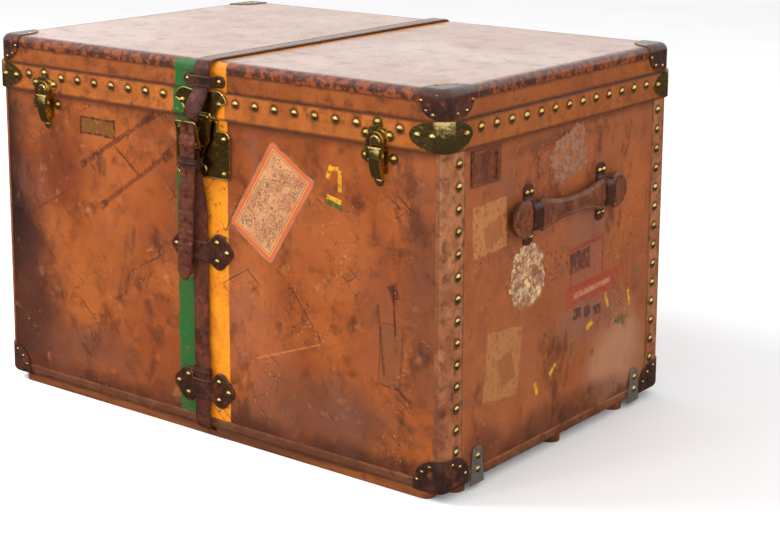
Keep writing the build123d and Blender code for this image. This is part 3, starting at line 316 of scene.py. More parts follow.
# Old marks: centre, half length, half height in millimetres, turn, colour, strength
FRONT_MARKS = (
    (-202, 409, 36, 13, 0.0, (34, 18, 10), 0.85),
    (-202, 409, 32.5, 10, 0.0, (118, 74, 22), 0.8),
    (-163, 395, 80, 3.6, 0.542, (80, 34, 14), 0.75),
    (-97, 435, 11, 6, 0.542, (64, 26, 12), 0.75),
    (-232, 353, 7, 6, 0.542, (70, 30, 12), 0.7),
    (-129, 343, 80, 3.4, 0.593, (84, 36, 14), 0.7),
    (-65, 386, 11, 7, 0.593, (66, 28, 12), 0.7),
    (-193, 299, 8, 6, 0.593, (76, 34, 14), 0.7),
    (222, 402, 9, 3.0, 1.2, (214, 152, 10), 0.9),
    (229, 407, 8, 2.6, 0.1, (214, 152, 10), 0.9),
    (239, 392, 3, 14, 0.0, (208, 146, 14), 0.9),
    (229, 367, 12, 3.4, -0.25, (216, 160, 14), 0.9),
    (232, 360, 13, 3.4, -0.30, (30, 88, 40), 0.9),
    (321, 178, 18, 42, -0.06, (62, 32, 18), 0.7),
    (321, 179, 16.4, 40, -0.06, (138, 78, 40), 0.75),
    (327, 236, 1.6, 30, 0.05, (48, 24, 14), 0.8),
    (326, 262, 7, 10, 0.4, (50, 24, 14), 0.75),
    (306, 196, 2.0, 46, 0.12, (60, 30, 16), 0.6),
    (60, 330, 1.4, 40, -0.5, (84, 38, 18), 0.6),
    (-320, 280, 60, 1.2, 0.5, (66, 28, 14), 0.6),
    (180, 210, 44, 1.4, -0.9, (72, 34, 18), 0.6),
    (150, 150, 60, 1.1, 0.35, (196, 122, 66), 0.55),
)
END_MARKS = (
    (-174, 338, 37, 33, 0.05, (188, 128, 74), 0.6),
    (-166, 330, 20, 14, 0.2, (140, 78, 40), 0.6),
    (-140, 150, 40, 46, -0.1, (176, 120, 66), 0.6),
    (-132, 142, 17, 20, 0.3, (128, 70, 34), 0.6),
    (62, 243, 44, 30, 0.04, (140, 40, 24), 0.75),
    (62, 243, 39, 25, 0.04, (150, 92, 64), 0.7),
    (44, 250, 26, 15, 0.04, (58, 34, 26), 0.75),
    (78, 204, 70, 15, 0.04, (158, 54, 36), 0.75),
    (78, 204, 48, 4, 0.04, (196, 140, 96), 0.6),
    (40, 176, 10, 8, 0.0, (52, 30, 22), 0.75),
    (66, 173, 8, 8, 0.0, (52, 30, 22), 0.75),
    (92, 170, 10, 7, 0.0, (52, 30, 22), 0.75),
    (-60, 96, 3, 10, 0.3, (216, 160, 20), 0.85),
    (-20, 112, 10, 3, 0.7, (216, 160, 20), 0.85),
    (28, 128, 3, 11, -0.3, (44, 96, 46), 0.8),
    (74, 152, 9, 4, 0.4, (216, 160, 20), 0.85),
    (118, 178, 3, 12, 0.4, (216, 160, 20), 0.85),
    (150, 140, 8, 4, -0.4, (60, 104, 50), 0.8),
    (180, 168, 3, 12, 0.2, (216, 160, 20), 0.85),
    (200, 200, 3, 9, -0.2, (60, 104, 50), 0.8),
)


MARK_EDGE = 0.6


def old_marks(f, colour, marks, face, along):
    """Rubbed rectangles and bars of ink, paper and paint."""
    rag = f.times(f.minus(f.noise(70, 6.0, 0.7), 0.5), 9 * MM)
    worn = f.ramp(f.noise(150, 8.0, 0.75), 0.60, 0.50)
    sound = f.both(face, worn)
    for centre, height, half_long, half_tall, turn, shade, strength in marks:
        du = f.minus(along, centre * MM)
        dv = f.minus(f.z, height * MM)
        c, s = math.cos(turn), math.sin(turn)
        u = f.math("MULTIPLY_ADD", du, c, f.times(dv, s))
        v = f.math("MULTIPLY_ADD", dv, c, f.times(du, -s))
        loose = min(1.0, min(half_long, half_tall) / 12)
        u = f.math("MULTIPLY_ADD", rag, loose, f.absolute(u))
        v = f.math("MULTIPLY_ADD", rag, loose, f.absolute(v))
        inside = f.both(*(f.ramp(w, (half + MARK_EDGE) * MM, (half - MARK_EDGE) * MM)
                          for w, half in ((u, half_long), (v, half_tall))))
        colour = f.stain(colour, f.both(sound, inside), shade, strength)
    return colour


def clouds_of_colour(f, colour, patches, face, along, ragged):
    """Broad soft patches of other tones on a face."""
    for centre, height, half_width, half_height, shade, strength in patches:
        spot = f.patch(along, f.z, (centre * MM, height * MM),
                       (half_width * MM, half_height * MM), ragged)
        colour = f.stain(colour, f.both(face, spot), shade, strength)
    return colour


def body_hide():
    """Orange-brown cowhide of the body, with its stains, edges darker towards the bottom and just
    under the lid band, scratches and stripes.
    """
    f = Finish("body_hide")
    colour = aged(f, tone(82, 38, 14), tone(134, 62, 14), tone(164, 84, 26))
    ragged = f.noise(11, 5.0, 0.6)
    front = f.ramp(f.y, FRONT + 2 * MM, FRONT + 1 * MM)
    ends = f.ramp(f.absolute(f.x), RIGHT - 2 * MM, RIGHT - 1 * MM)
    colour = f.stain(colour, ends, (158, 88, 50), 0.55)
    colour = clouds_of_colour(f, colour, FRONT_PATCHES, front, f.x, ragged)
    colour = clouds_of_colour(f, colour, END_PATCHES, ends, f.y, ragged)
    stains = f.ramp(f.noise(21, 7.0, 0.7, stretch=(1, 1, 0.6)), 0.54, 0.68, 0.0, 0.65)
    colour = f.stain(colour, stains, (70, 31, 14))
    purple = f.ramp(f.noise(9, 4.0, 0.6, stretch=(1, 1, 0.5)), 0.54, 0.68, 0.0, 0.40)
    colour = f.stain(colour, purple, (118, 72, 58))
    pale = f.ramp(f.noise(30, 8.0, 0.75), 0.57, 0.70, 0.0, 0.45)
    colour = f.stain(colour, pale, (196, 122, 66))
    # Darker towards the bottom, and darker just under the lid band.
    low_edge = f.both(f.ramp(f.z, SEAM + 34 * MM, SEAM), f.ramp(ragged, 0.2, 0.6))
    colour = f.stain(colour, low_edge, (60, 28, 16), 0.85)
    high_edge = f.ramp(f.z, RIM - 16 * MM, RIM - 1 * MM)
    colour = f.stain(colour, high_edge, (90, 42, 16), 0.6)
    colour = stripes(f, colour)
    colour = old_marks(f, colour, FRONT_MARKS, front, f.x)
    right = f.both(ends, f.ramp(f.x, 0.0, 0.1))
    colour = old_marks(f, colour, END_MARKS, right, f.y)
    dark_lines = f.either(scratches(f, (0, 0.9, 0.1), 260, 0.66),
                          scratches(f, (0.9, -0.7, 0), 300, 0.67),
                          scratches(f, (0, 2.1, 0), 340, 0.68))
    colour = f.stain(colour, dark_lines, (50, 22, 12), 0.7)
    pale_lines = scratches(f, (0.5, 0.3, 0), 420, 0.68)
    colour = f.stain(colour, pale_lines, (206, 140, 86), 0.6)
    normal = f.bump(dark_lines, -0.0003, hide_relief(f))
    return f.leather(colour, normal, (24, 5.0, 0.28, 0.52), (0.18, 0.10), 0.35)


def lid_side_hide():
    """Darker, more rubbed hide round the sides of the lid."""
    f = Finish("lid_side_hide")
    colour = aged(f, tone(76, 34, 12), tone(132, 64, 14), tone(158, 82, 24), 12.0)
    ends = f.ramp(f.absolute(f.x), RIGHT - 2 * MM, RIGHT - 1 * MM)
    colour = f.stain(colour, ends, (150, 78, 34), 0.4)
    rubbed = f.either(f.ramp(f.z, TOP_SEAM - 5 * MM, TOP_SEAM),
                      f.ramp(f.z, BAND_TOP + 5 * MM, BAND_TOP + 1 * MM))
    colour = f.stain(colour, rubbed, (64, 30, 14), 0.65)
    colour = stripes(f, colour)
    lines = scratches(f, (0, 1.5, 0.2), 300, 0.66)
    colour = f.stain(colour, lines, (64, 30, 14), 0.6)
    return f.leather(colour, hide_relief(f), (30, 5.0, 0.24, 0.46), (0.15, 0.14), 0.4)


def lid_top_hide():
    """Flat top of the lid: pale and glossy, darker round the rolled edge. The pale tone is partly
    bleached, rubbed leather and partly a painted reflection of the bright sky.
    """
    f = Finish("lid_top_hide")
    # Pale grey-pink tones over the flat top: bleached, rubbed leather with a painted reflection of
    # the bright sky laid into the colour.
    colour = aged(f, tone(148, 104, 84), tone(184, 144, 124), tone(206, 176, 162), 5.0)
    long_marks = f.ramp(f.noise(26, 5.0, 0.6, stretch=(0.35, 1, 1)), 0.58, 0.74, 0.0, 0.5)
    colour = f.stain(colour, long_marks, (132, 74, 46))
    edge = f.either(f.ramp(f.absolute(f.x), RIGHT - 16 * MM, RIGHT - 6 * MM),
                    f.ramp(f.absolute(f.y), BACK - 16 * MM, BACK - 6 * MM),
                    f.ramp(f.z, LID_TOP - 0.5 * MM, LID_TOP - 3 * MM))
    colour = f.stain(colour, edge, (132, 60, 14))
    worn = f.both(edge, f.ramp(f.noise(90, 6.0, 0.7), 0.44, 0.54))
    colour = f.stain(colour, worn, (44, 18, 8), 0.85)
    on_top = f.ramp(f.z, LID_TOP - 1.0 * MM, LID_TOP - 0.3 * MM)
    yellow = f.both(f.between(f.x, 0.0, 30 * MM, 1.5 * MM), on_top)
    colour = worn_paint(f, colour, yellow, YELLOW, YELLOW_WORN)
    rolled = f.both(f.ramp(f.y, FRONT + 7 * MM, FRONT + 5 * MM), f.minus(1.0, on_top))
    wide_green = f.both(rolled, f.between(f.x, -STRIPE, 0.0))
    wide_yellow = f.both(rolled, f.between(f.x, 0.0, STRIPE))
    colour = worn_paint(f, colour, wide_green, GREEN, GREEN_WORN)
    colour = worn_paint(f, colour, wide_yellow, YELLOW, YELLOW_WORN)
    lines = f.either(scratches(f, (1.57, 0.1, 0.7), 260, 0.68),
                     scratches(f, (1.57, 0, -0.3), 320, 0.68))
    colour = f.stain(colour, lines, (96, 50, 30), 0.6)
    return f.leather(colour, hide_relief(f, 0.7), (18, 5.0, 0.20, 0.40), (0.6, 0.18))


def band_hide():
    """Nailed band of the lid: polished, with dirt and painted shade round every nail and the
    stripes over it.
    """
    f = Finish("band_hide")
    colour = aged(f, tone(80, 36, 12), tone(146, 74, 14), tone(176, 96, 28), 14.0)
    ends = f.ramp(f.absolute(f.x), RIGHT + 2 * MM, RIGHT + 4 * MM)
    colour = f.stain(colour, ends, (134, 72, 30), 0.5)
    colour = stripes(f, colour)
    across = f.absolute(f.x)
    sides = f.minus(1.0, ends)
    rings = f.either(f.both(sides, nail_ring_dirt_and_shade(f, across, NAIL_FIRST, NAIL_PITCH, f.z, BAND_MIDDLE)),
                     f.both(ends, nail_ring_dirt_and_shade(f, f.y, 0.0, END_NAIL_PITCH, f.z, BAND_MIDDLE)))
    # Rings round the nails darken the colour: dirt, and painted shade of the dimples the nails
    # press in.
    colour = f.stain(colour, rings, (66, 30, 12), 0.72)
    edges = f.either(f.ramp(f.z, BAND_LOW + 5 * MM, BAND_LOW + 1 * MM),
                     f.ramp(f.z, BAND_TOP - 3 * MM, BAND_TOP))
    colour = f.stain(colour, edges, (60, 27, 12), 0.75)
    lines = scratches(f, (0, 1.5, 0), 300, 0.68)
    colour = f.stain(colour, lines, (60, 28, 12), 0.6)
    normal = f.bump(rings, -0.0012, hide_relief(f, 0.8))
    return f.leather(colour, normal, (40, 4.0, 0.22, 0.44), (0.15, 0.12), 0.4)


def strip_hide():
    """Upright corner strips and the base binding: dark rubbed edge leather."""
    f = Finish("strip_hide")
    colour = aged(f, tone(74, 36, 18), tone(140, 76, 40), tone(176, 112, 66), 16.0)
    front = f.ramp(f.y, FRONT + 1 * MM, FRONT)
    colour = f.stain(colour, front, (96, 48, 24), 0.5)
    corner = f.both(f.ramp(f.absolute(f.x), RIGHT - 13 * MM, RIGHT - 3 * MM),
                    f.ramp(f.absolute(f.y), BACK - 12 * MM, BACK - 3 * MM))
    rubbed = f.both(corner, f.ramp(f.noise(35, 6.0, 0.7), 0.42, 0.62))
    colour = f.stain(colour, rubbed, (78, 32, 16), 0.7)
    low = f.ramp(f.z, SEAM + 1 * MM, SEAM - 5 * MM)
    colour = f.stain(colour, low, (58, 27, 14), 0.55)
    inset = f.minus(f.absolute(f.y), BACK - SIDE_NAIL_INSET)
    rings = nail_ring_dirt_and_shade(f, f.z, SIDE_NAIL_LOW, SIDE_NAIL_PITCH, inset, 0.0)
    rings = f.both(rings, f.ramp(f.z, 50 * MM, 56 * MM))
    # Rings round the nails darken the colour: dirt, and painted shade of the dimples the nails
    # press in.
    colour = f.stain(colour, rings, (50, 22, 10), 0.7)
    edge = f.absolute(f.minus(f.absolute(f.y), BACK - 40.5 * MM))
    line = f.ramp(edge, 1.2 * MM, 0.6 * MM)
    colour = f.stain(colour, line, (46, 20, 10), 0.6)
    normal = f.bump(rings, -0.0012, hide_relief(f))
    return f.leather(colour, normal, (40, 4.0, 0.24, 0.46), (0.3, 0.15))


def dark_hide(name, dark, middle, light, crackle, coat=0.45, pale_top_wear_and_reflection=None):
    """Dark cracked leather of the straps, caps, keepers and handles."""
    f = Finish(name)
    colour = aged(f, dark, middle, light, 22.0)
    cracks = f.cells(crackle, 0.6)
    fine = f.cells(crackle * 3.1, 0.6)
    lines = f.either(f.ramp(cracks, 0.09, 0.0), f.ramp(fine, 0.10, 0.0, 0.0, 0.6))
    colour = f.mix(f.times(lines, 0.75), colour, dark)
    rubbed = f.ramp(f.noise(60, 7.0, 0.75), 0.56, 0.64, 0.0, 0.65)
    colour = f.stain(colour, rubbed, (168, 74, 26))
    # Faces turned up on the lid are laid paler: partly rubbed wear, partly a painted reflection of
    # the bright sky, as on the lid top.
    if pale_top_wear_and_reflection:
        flat_top = f.both(f.ramp(f.facing_z, 0.75, 0.95), f.ramp(f.z, LID_TOP, LID_TOP + 1 * MM))
        colour = f.mix(f.times(flat_top, 0.85), colour, pale_top_wear_and_reflection)
    normal = f.bump(f.ramp(cracks, 0.0, 0.2), 0.00055)
    normal = f.bump(f.ramp(fine, 0.0, 0.25), 0.00015, normal)
    normal = f.bump(f.noise(90, 4.0), 0.0008, normal)
    return f.leather(colour, normal, (60, 4.0, 0.22, 0.48), (coat, 0.10))


def plain_edge_hide(name, dark, middle, light):
    """Layered leather seen on its cut edge as well as its face."""
    f = Finish(name)
    colour = aged(f, dark, middle, light, 26.0)
    layers = f.ramp(f.noise(900, 1.0, stretch=(1, 0.05, 0.05)), 0.48, 0.56)
    cut = f.ramp(f.absolute(f.facing_x), 0.7, 0.4)
    colour = f.mix(f.both(cut, f.times(layers, 0.8)), colour, dark)
    cracks = f.cells(330, 0.6)
    colour = f.mix(f.ramp(cracks, 0.08, 0.0, 0.0, 0.5), colour, dark)
    normal = f.bump(f.ramp(cracks, 0.0, 0.2), 0.0003)
    normal = f.bump(f.both(cut, layers), 0.0006, normal)
    normal = f.bump(f.noise(70, 4.0), 0.0008, normal)
    return f.leather(colour, normal, (50, 4.0, 0.24, 0.46), (0.4, 0.14))


# ---- Metal, wood, cloth and paper ------------------------


def brass(name, tarnish=0.5, bright=(238, 212, 142)):
    """Old brass: polished high spots, brown tarnish, fine scratches."""
    f = Finish(name)
    clouds = f.noise(60, 6.0, 0.65)
    spots = f.noise(420, 5.0, 0.7)
    colour = f.mix(f.ramp(clouds, 0.35, 0.70), tone(*bright), tone(206, 170, 92))
    colour = f.stain(colour, f.ramp(clouds, 0.66 - 0.16 * tarnish, 0.84, 0.0, 0.8), (104, 80, 34))
    colour = f.stain(colour, f.ramp(spots, 0.60, 0.72, 0.0, 0.6), (66, 48, 22))
    lines = f.noise(1300, 2.0, stretch=(1, 1, 0.08), turn=(0, 0.6, 0.2))
    rough = f.math("ADD", f.ramp(clouds, 0.35, 0.75, 0.12, 0.30),
                   f.ramp(lines, 0.55, 0.7, 0.0, 0.08))
    normal = f.bump(lines, 0.00003)
    normal = f.bump(f.noise(110, 4.0), 0.0009, normal)
    return f.done(colour, rough, normal, Metallic=1.0)


def steel():
    """Dull nickelled steel with rust specks."""
    f = Finish("bracket_steel")
    clouds = f.noise(70, 6.0, 0.7)
    colour = f.mix(f.ramp(clouds, 0.35, 0.7), tone(196, 190, 182), tone(150, 142, 134))
    rust = f.ramp(f.noise(300, 7.0, 0.75), 0.56, 0.66)
    colour = f.stain(colour, rust, (112, 66, 34), 0.8)
    metal = f.ramp(rust, 0.2, 0.8, 0.9, 0.25)
    f.feed(f.shader.inputs["Metallic"], metal)
    normal = f.bump(f.noise(800, 5.0), 0.00015)
    return f.done(colour, f.ramp(clouds, 0.3, 0.7, 0.32, 0.55), normal)


def runner_wood():
    """Varnished hardwood, orange brown, with long grain and worn edges."""
    f = Finish("runner_wood")
    grain = f.noise(420, 5.0, 0.6, stretch=(0.03, 1, 1))
    rings = f.noise(70, 3.0, 0.5, stretch=(0.06, 1, 1))
    colour = f.mix(f.ramp(rings, 0.35, 0.68), tone(134, 70, 20), tone(84, 42, 16))
    colour = f.stain(colour, f.ramp(grain, 0.5, 0.68, 0.0, 0.8), (70, 36, 16))
    wear = f.ramp(f.noise(50, 6.0, 0.7), 0.58, 0.7, 0.0, 0.7)
    colour = f.stain(colour, wear, (58, 32, 18))
    normal = f.bump(grain, 0.0004)
    return f.done(colour, f.ramp(grain, 0.3, 0.7, 0.35, 0.6), normal)


def board_wood():
    """Bare poplar board."""
    f = Finish("board_wood")
    grain = f.noise(500, 5.0, 0.6, stretch=(0.04, 0.04, 1))
    rings = f.noise(60, 3.0, 0.5, stretch=(0.08, 0.08, 1), warp=0.8)
    colour = f.mix(f.ramp(rings, 0.35, 0.68), tone(198, 164, 118), tone(168, 126, 82))
    colour = f.stain(colour, f.ramp(grain, 0.5, 0.7, 0.0, 0.6), (128, 90, 54))
    return f.done(colour, 0.62, f.bump(grain, 0.0003))


def linen():
    """Plain woven linen lining with foxing."""
    f = Finish("lining_linen")
    warp = f.ramp(f.noise(1500, 1.0, stretch=(1, 1, 0.04)), 0.35, 0.6)
    weft = f.ramp(f.noise(1500, 1.0, stretch=(0.04, 0.04, 1)), 0.35, 0.6)
    weave = f.times(warp, weft)
    foxing = f.ramp(f.noise(18, 6.0, 0.7), 0.55, 0.75, 0.0, 0.6)
    colour = f.mix(weave, tone(172, 154, 122), tone(206, 190, 158))
    colour = f.stain(colour, foxing, (148, 108, 66))
    return f.done(colour, 0.85, f.bump(weave, 0.0003), Sheen_Weight=0.25)


def paper(name, middle, border, print_tone, half, margin):
    """Old printed paper: coloured rules round a faded field with plain wavy print."""
    f = Finish(name)
    uv = f.node("ShaderNodeTexCoord").outputs["UV"]
    u, v, _ = f.split(uv)
    away_u = f.minus(half[0], f.absolute(u))
    away_v = f.minus(half[1], f.absolute(v))
    inward = f.math("MINIMUM", away_u, away_v)
    stain = f.noise(34, 7.0, 0.7)
    colour = f.mix(f.ramp(stain, 0.35, 0.7), middle, tone(170, 108, 66))
    for start, end, ink in border:
        rule = f.between(inward, start * MM, end * MM, 0.3 * MM)
        colour = f.mix(f.times(rule, 0.85), colour, ink)
    field = f.ramp(inward, margin * MM, (margin + 2) * MM)
    wave = f.node("ShaderNodeTexWave", ("Vector", uv), ("Scale", 60), ("Distortion", 26.0),
                  ("Detail", 3.0), ("Detail Scale", 1.5)).outputs[1]
    print_mask = f.both(field, f.ramp(wave, 0.52, 0.62), f.ramp(f.noise(60, 3.0), 0.40, 0.46))
    colour = f.mix(f.times(print_mask, 0.65), colour, print_tone)
    tears = f.ramp(f.noise(120, 8.0, 0.75), 0.60, 0.66, 0.0, 0.7)
    colour = f.stain(colour, tears, (140, 78, 40))
    return f.done(colour, f.ramp(stain, 0.3, 0.7, 0.45, 0.7), f.bump(f.noise(260, 5.0), 0.0004))


def old_paper(name, shade, print_tone):
    """Torn plain paper, stained, with a rubbed blotchy print."""
    f = Finish(name)
    stain = f.noise(40, 7.0, 0.75)
    colour = f.mix(f.ramp(stain, 0.42, 0.60), shade, tone(146, 84, 44))
    blots = f.both(f.ramp(f.cells(60, 0.8), 0.16, 0.08), f.ramp(f.noise(90, 4.0), 0.45, 0.52))
    colour = f.mix(f.times(blots, 0.6), colour, print_tone)
    tears = f.ramp(f.noise(110, 8.0, 0.75), 0.52, 0.57)
    colour = f.stain(colour, tears, (144, 80, 42))
    normal = f.bump(tears, -0.0004, f.bump(f.noise(260, 5.0), 0.0003))
    return f.done(colour, f.ramp(stain, 0.3, 0.7, 0.4, 0.6), normal)


def thread():
    """Waxed linen thread."""
    f = Finish("waxed_thread")
    twist = f.noise(2600, 1.0, stretch=(1, 1, 0.4), turn=(0.8, 0.8, 0))
    colour = f.mix(f.ramp(twist, 0.4, 0.6), tone(176, 128, 78), tone(104, 66, 38))
    return f.done(colour, 0.6, f.bump(twist, 0.0001))


BODY_HIDE = body_hide()
LID_SIDE_HIDE = lid_side_hide()
LID_TOP_HIDE = lid_top_hide()
BAND_HIDE = band_hide()
STRIP_HIDE = strip_hide()
CAP_HIDE = dark_hide("cap_hide", tone(28, 12, 8), tone(72, 33, 20), tone(116, 60, 34), 170, 0.7)
STRAP_HIDE = dark_hide("strap_hide", tone(40, 15, 9), tone(112, 46, 28), tone(150, 78, 48), 300,
                       0.5)
# Strap over the lid: the last colour is the paler tone of its faces turned up on the lid, partly
# wear and partly painted reflection.
TOP_STRAP_HIDE = dark_hide("top_strap_hide", tone(34, 13, 8), tone(92, 38, 22),
                           tone(128, 62, 38), 300, 0.5, tone(176, 138, 118))
HANDLE_HIDE = plain_edge_hide("handle_hide", tone(40, 15, 9), tone(118, 54, 26),
                              tone(160, 86, 46))
LOOP_HIDE = dark_hide("loop_hide", tone(30, 12, 8), tone(84, 36, 18), tone(122, 60, 30), 300)
BRASS = brass("old_brass", 0.5)
DARK_BRASS = brass("tarnished_brass", 1.1, (204, 172, 92))
NAIL_BRASS = brass("nail_brass", 0.1, (252, 226, 150))
STEEL = steel()
RUNNER_WOOD = runner_wood()
BOARD_WOOD = board_wood()
LINEN = linen()
THREAD = thread()

# ---- Mesh building ---------------------------------------


def make_piece(name, vertices, faces, material, body, slot):
    """A mesh piece in place, riding on its body, with its faces turned outward."""
    mesh = bpy.data.meshes.new(name)
    mesh.from_pydata([tuple(v) for v in vertices], [], faces)
    mesh.materials.append(material)
    work = bmesh.new()
    work.from_mesh(mesh)
    bmesh.ops.recalc_face_normals(work, faces=work.faces)
    work.to_mesh(mesh)
    work.free()
    mesh.shade_smooth()
    piece = bpy.data.objects.new(name, mesh)
    bpy.context.scene.collection.objects.link(piece)
    if body:
        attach(piece, body)
    return piece


def skin(loops, ring=False):
    """Faces through closed loops of equal count; the ends are capped, or joined in a ring."""
    count = len(loops[0])
    rows = len(loops)
    vertices = [p for loop in loops for p in loop]
    faces = []
    for k in range(rows if ring else rows - 1):
        a, b = k * count, (k + 1) % rows * count
        for i in range(count):
            j = (i + 1) % count
            faces.append((a + i, a + j, b + j, b + i))
    if not ring:
        faces.append(tuple(reversed(range(count))))
        faces.append(tuple(range((rows - 1) * count, rows * count)))
    return vertices, faces


def join(parts):
    """One vertex and face list out of several."""
    vertices, faces = [], []
    for more_vertices, more_faces in parts:
        start = len(vertices)
        vertices += list(more_vertices)
        faces += [tuple(i + start for i in face) for face in more_faces]
    return vertices, faces


def smooth_path(points, step=3 * MM):
    """Closely spaced points on a smooth curve through the given ones, with no overshoot."""
    rows = [np.array(p, float) for p in points]
    spans = [b - a for a, b in zip(rows, rows[1:])]
    lengths = [np.linalg.norm(span) for span in spans]
    ways = [span / length for span, length in zip(spans, lengths)]
    heads = [ways[0]]
    for k in range(1, len(ways)):
        lean = ways[k - 1] * lengths[k] + ways[k] * lengths[k - 1]
        heads.append(lean / np.linalg.norm(lean))
    heads.append(ways[-1])
    fine = []
    for k, length in enumerate(lengths):
        pieces = max(2, int(length / step))
        for i in range(pieces):
            t = i / pieces
            fine.append(rows[k] * (2 * t**3 - 3 * t**2 + 1)
                        + heads[k] * length * (t**3 - 2 * t**2 + t)
                        + rows[k + 1] * (3 * t**2 - 2 * t**3)
                        + heads[k + 1] * length * (t**3 - t**2))
    fine.append(rows[-1])
    return fine


def strap_section(half_width, thick):
    """Cross-section of a strap as (across, out): rounded edges and a pressed line near each."""
    radius = min(thick * 0.45, 1.4 * MM)
    groove = 2.6 * MM
    upper = [(half_width, 0.0), (half_width - radius * 0.3, radius * 0.7),
             (half_width - radius, radius), (half_width - groove + 0.6 * MM, radius),
             (half_width - groove, radius - 0.5 * MM), (half_width - groove - 0.6 * MM, radius),
             (half_width * 0.5, radius + 0.15 * MM), (0.0, radius + 0.25 * MM)]
    top = upper + [(-a, o) for a, o in reversed(upper[:-1])]
    base = [(-half_width + radius * 0.3, -radius * 0.7), (-half_width + radius, -radius),
            (0.0, -radius), (half_width - radius, -radius),
            (half_width - radius * 0.3, -radius * 0.7)]
    lift = thick / 2 - radius
    return [(a, o + math.copysign(lift, o) if o else 0.0) for a, o in top + base]


def ribbon(path, half_width, thick, inside, width_of=None, wobble=0.0):
    """Strap of even section along a path; its flat back faces the point or side `inside`."""
    loops = []
    across_before = None
    phase = random.uniform(0, 6)
    for k, here in enumerate(path):
        before, after = path[max(k - 1, 0)], path[min(k + 1, len(path) - 1)]
        along = (after - before) / np.linalg.norm(after - before)
        out = here - np.array(inside(here), float)
        out -= along * out.dot(along)
        out /= np.linalg.norm(out)
        across = np.cross(out, along)
        if across_before is not None and across.dot(across_before) < 0:
            across = -across
        across_before = across
        width = half_width * (width_of(k / (len(path) - 1)) if width_of else 1.0)
        lean = wobble * math.sin(phase + here[2] * 90)
        loop = []
        for a, o in strap_section(width, thick):
            bend = wobble * 0.5 * math.sin(phase + here[2] * 160 + a * 180)
            loop.append(here + across * (a + lean) + out * (o + bend))
        loops.append(loop)
    return skin(loops)


def dome(centre, out, radius, height, sides=20, rings=6):
    """Round nail head: a low dome with a tight rolled rim, closed underneath."""
    out = Vector(out)
    tilt = Vector([random.uniform(-0.05, 0.05) for _ in range(3)])
    out = (out + tilt).normalized()
    u = out.orthogonal().normalized()
    v = out.cross(u)
    centre = Vector(centre)
    radius *= random.uniform(0.96, 1.03)
    vertices = []
    for k in range(rings):
        angle = k / rings * math.pi / 2
        r, h = radius * math.cos(angle) ** 0.9, height * math.sin(angle)
        for i in range(sides):
            turn = 2 * math.pi * i / sides
            vertices.append(centre + u * r * math.cos(turn) + v * r * math.sin(turn) + out * h)
    vertices.append(centre + out * height)
    faces = []
    for k in range(rings - 1):
        for i in range(sides):
            j = (i + 1) % sides
            faces.append((k * sides + i, k * sides + j, (k + 1) * sides + j, (k + 1) * sides + i))
    last = (rings - 1) * sides
    faces += [(last + i, last + (i + 1) % sides, rings * sides) for i in range(sides)]
    faces.append(tuple(reversed(range(sides))))
    return vertices, faces


def islands(node):
    """Boxes of the separate solids in a CAD node, as (lowest corner, highest corner)."""
    work = bmesh.new()
    work.from_mesh(NODES[node].data)
    bmesh.ops.remove_doubles(work, verts=work.verts, dist=1e-6)
    seen, boxes = set(), []
    for start in work.verts:
        if start in seen:
            continue
        seen.add(start)
        stack, group = [start], []
        while stack:
            vertex = stack.pop()
            group.append(vertex.co.copy())
            for edge in vertex.link_edges:
                other = edge.other_vert(vertex)
                if other not in seen:
                    seen.add(other)
                    stack.append(other)
        corners = np.array(group)
        boxes.append((corners.min(0), corners.max(0)))
    work.free()
    return boxes


def nail_heads(node, body):
    """Fine round heads in place of a CAD node of nails or rivets."""
    parts = []
    for low, high in islands(node):
        size = high - low
        middle = (low + high) / 2
        axis = int(np.argmin(size))
        sign = 1.0 if axis == 2 else math.copysign(1.0, middle[axis])
        out = np.zeros(3)
        out[axis] = sign
        foot = middle.copy()
        foot[axis] = low[axis] if sign > 0 else high[axis]
        radius = np.delete(size, axis).max() / 2
        parts.append(dome(foot, out, radius, size[axis]))
    piece = make_piece(node + "_heads", *join(parts), NAIL_BRASS, body, "brass")
    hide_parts(node)


for node, body in (("body_nails", "root"), ("base_cap_nails", "root"), ("body_rivets", "root"),
                   ("lid_band_nails", "lid"), ("lid_cap_nails", "lid"), ("lid_rivets", "lid")):
    nail_heads(node, body)

# ---- Strap -----------------------------------------------

STRAP_HALF = 13.5 * MM
STRAP_THICK = 3.2 * MM
BACK_STRAP_Y = 279.2 * MM
CORE_REACH = 234 * MM
CORE_LOW, CORE_HIGH = 60 * MM, 470 * MM


def toward_core(point):
    """The point of the trunk's middle plane that a strap's back faces."""
    y = min(max(point[1], -CORE_REACH), CORE_REACH)
    z = min(max(point[2], CORE_LOW), CORE_HIGH)
    return point[0], y, z


def in_mm(points):
    """Points given in millimetres."""
    return [tuple(c * MM for c in p) for p in points]


